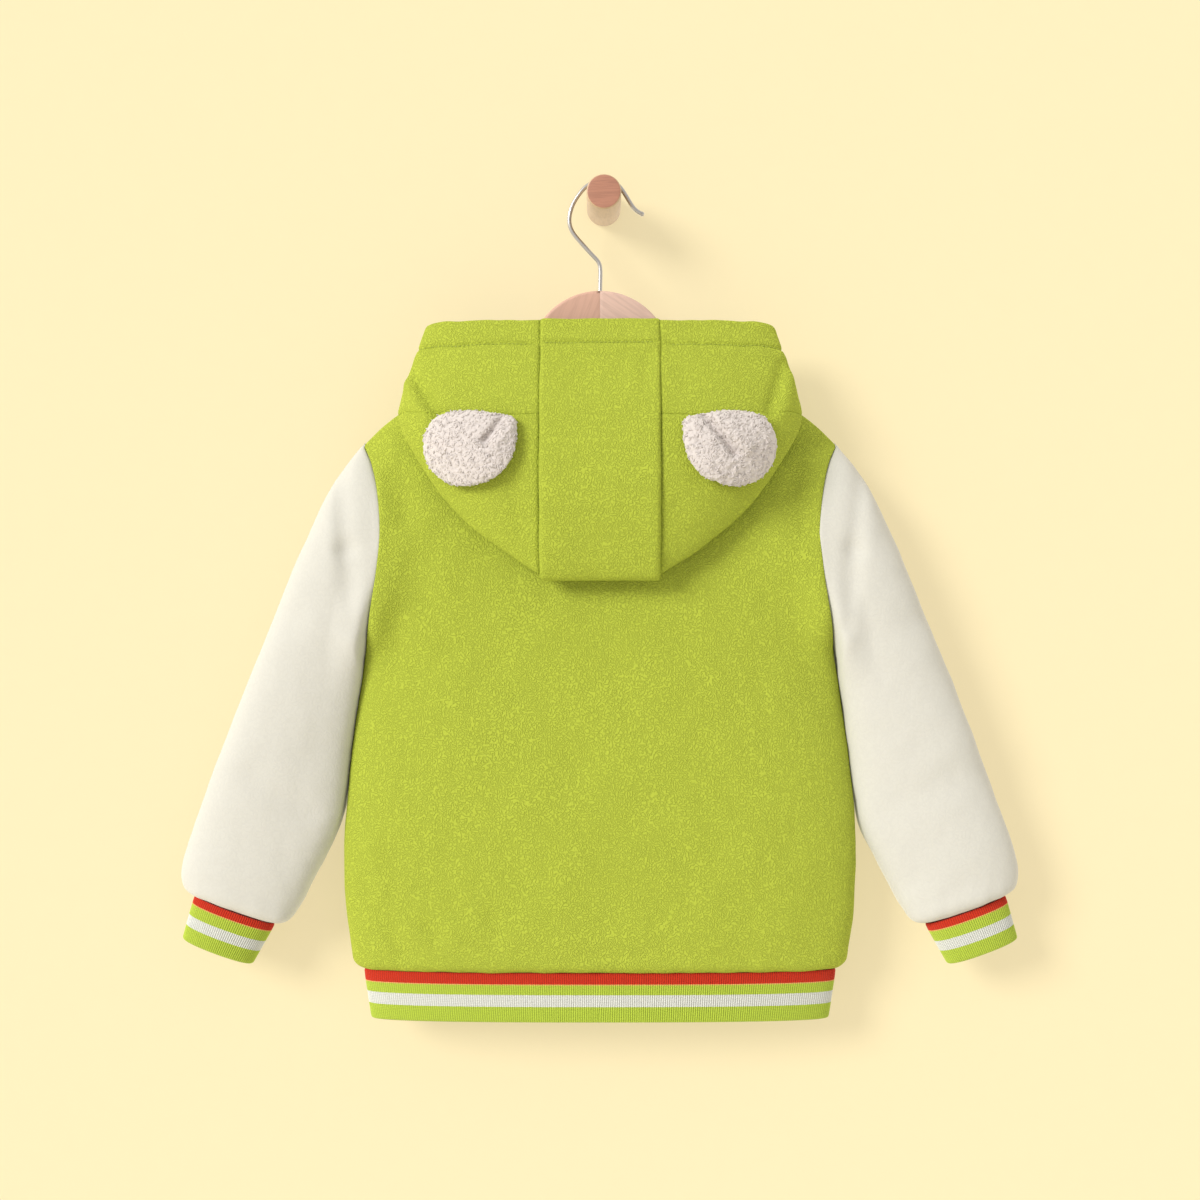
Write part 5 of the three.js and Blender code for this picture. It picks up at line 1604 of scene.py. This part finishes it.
class MakeStage(bpy.types.Operator):
    """Sets the wall, floor, lights and camera"""

    bl_idname = "jacket.stage"
    bl_label = "Stage"

    def execute(self, context):
        tones = context.scene.jacket_colours
        ends = ((-ROOM, FLOOR_Z), (ROOM, FLOOR_Z), (ROOM, WALL_TOP), (-ROOM, WALL_TOP))
        corners = [(x, WALL_Y, z) for x, z in ends]
        wall = self.plane("wall", corners, self.paint("Wall paint", tones.wall, WALL_GLOW))
        ends = ((-ROOM, -ROOM), (ROOM, -ROOM), (ROOM, ROOM), (-ROOM, ROOM))
        corners = [(x, y, FLOOR_Z) for x, y in ends]
        floor = self.plane("floor", corners, self.paint("Floor paint", tones.floor))
        self.sun("key", KEY_WAY, KEY_STRENGTH, KEY_SOFTNESS, KEY_TINT)
        world = bpy.data.worlds.new("Studio")
        world.use_nodes = True
        sky = world.node_tree.nodes["Background"]
        sky.inputs["Color"].default_value = SKY_TINT
        sky.inputs["Strength"].default_value = SKY_STRENGTH
        context.scene.world = world
        context.scene.view_settings.view_transform = "Standard"
        camera = add_object("camera", bpy.data.cameras.new("camera"))
        camera.location = (HANG[0] * MM, CAMERA_Y, CAMERA_Z)
        camera.rotation_euler = (math.pi / 2, 0, 0)
        camera.data.lens = LENS
        camera.data.clip_end = 20
        context.scene.camera = camera
        return {"FINISHED"}

    def paint(self, name, tone, glow=0.0):
        """A wall's paint. One that glows has softer shadows, and is clear from behind."""
        material, nodes, shader, place = new_finish(name)
        fine = nodes.noise(place, 60.0, 4.0, 0.6)
        mottled = nodes.ramp(fine, [(0.2, shade(tone, 0.985)), (0.8, shade(tone, 1.01))])
        plug(nodes, shader, Base_Color=mottled)
        plug(nodes, shader, Roughness=0.9, Specular_IOR_Level=0.1)
        if glow:
            seen = nodes.add("ShaderNodeLightPath").outputs["Is Camera Ray"]
            lit = nodes.mix(seen, WALL_BOUNCE, tuple(tone))
            plug(nodes, shader, Emission_Color=lit, Emission_Strength=glow)
            behind = nodes.add("ShaderNodeNewGeometry").outputs["Backfacing"]
            clear = nodes.add("ShaderNodeBsdfTransparent").outputs[0]
            mix = nodes.add("ShaderNodeMixShader", {0: behind, 1: shader.outputs[0], 2: clear})
            nodes.put(nodes.tree.nodes["Material Output"].inputs["Surface"], mix.outputs[0])
        return material

    def plane(self, name, corners, paint):
        mesh = bpy.data.meshes.new(name)
        mesh.from_pydata(corners, [], [(0, 1, 2, 3)])
        mesh.materials.append(paint)
        return add_object(name, mesh)

    def sun(self, name, way, strength, softness, tint):
        """A soft light that shines along a direction."""
        lamp = bpy.data.lights.new(name, "SUN")
        lamp.energy, lamp.angle, lamp.color = strength, math.radians(softness), tint
        made = add_object(name, lamp)
        made.location = (-1.2, -2.0, 0.8)
        x, y, z = way
        made.rotation_euler = (math.atan2(math.hypot(x, y), -z), 0, math.atan2(y, x) - math.pi / 2)


OPERATORS = (MakeStage, MakeBody, MakeSleeves, MakeRibs, MakeHood, MakeEars, MakeZip, MakeHanger, MakePeg)


class JacketPanel(bpy.types.Panel):
    """Lists the jacket's makers and sizes"""

    bl_idname = "VIEW3D_PT_jacket"
    bl_label = "Hooded bomber jacket"
    bl_space_type = "VIEW_3D"
    bl_region_type = "UI"
    bl_category = "Jacket"

    def draw(self, context):
        for group in (context.scene.jacket_sizes, context.scene.jacket_colours):
            column = self.layout.column()
            for name in group.bl_rna.properties.keys():
                if name not in ("rna_type", "name"):
                    column.prop(group, name)
        for operator in OPERATORS:
            self.layout.operator(operator.bl_idname)


CLASSES = (JacketSizes, JacketColours, *OPERATORS, JacketPanel)


def register():
    for made in CLASSES:
        bpy.utils.register_class(made)
    bpy.types.Scene.jacket_sizes = PointerProperty(type=JacketSizes)
    bpy.types.Scene.jacket_colours = PointerProperty(type=JacketColours)


def unregister():
    del bpy.types.Scene.jacket_colours
    del bpy.types.Scene.jacket_sizes
    for made in reversed(CLASSES):
        bpy.utils.unregister_class(made)


def main():
    register()
    for operator in OPERATORS:
        group, name = operator.bl_idname.split(".")
        getattr(getattr(bpy.ops, group), name)()


if __name__ == "__main__":
    main()
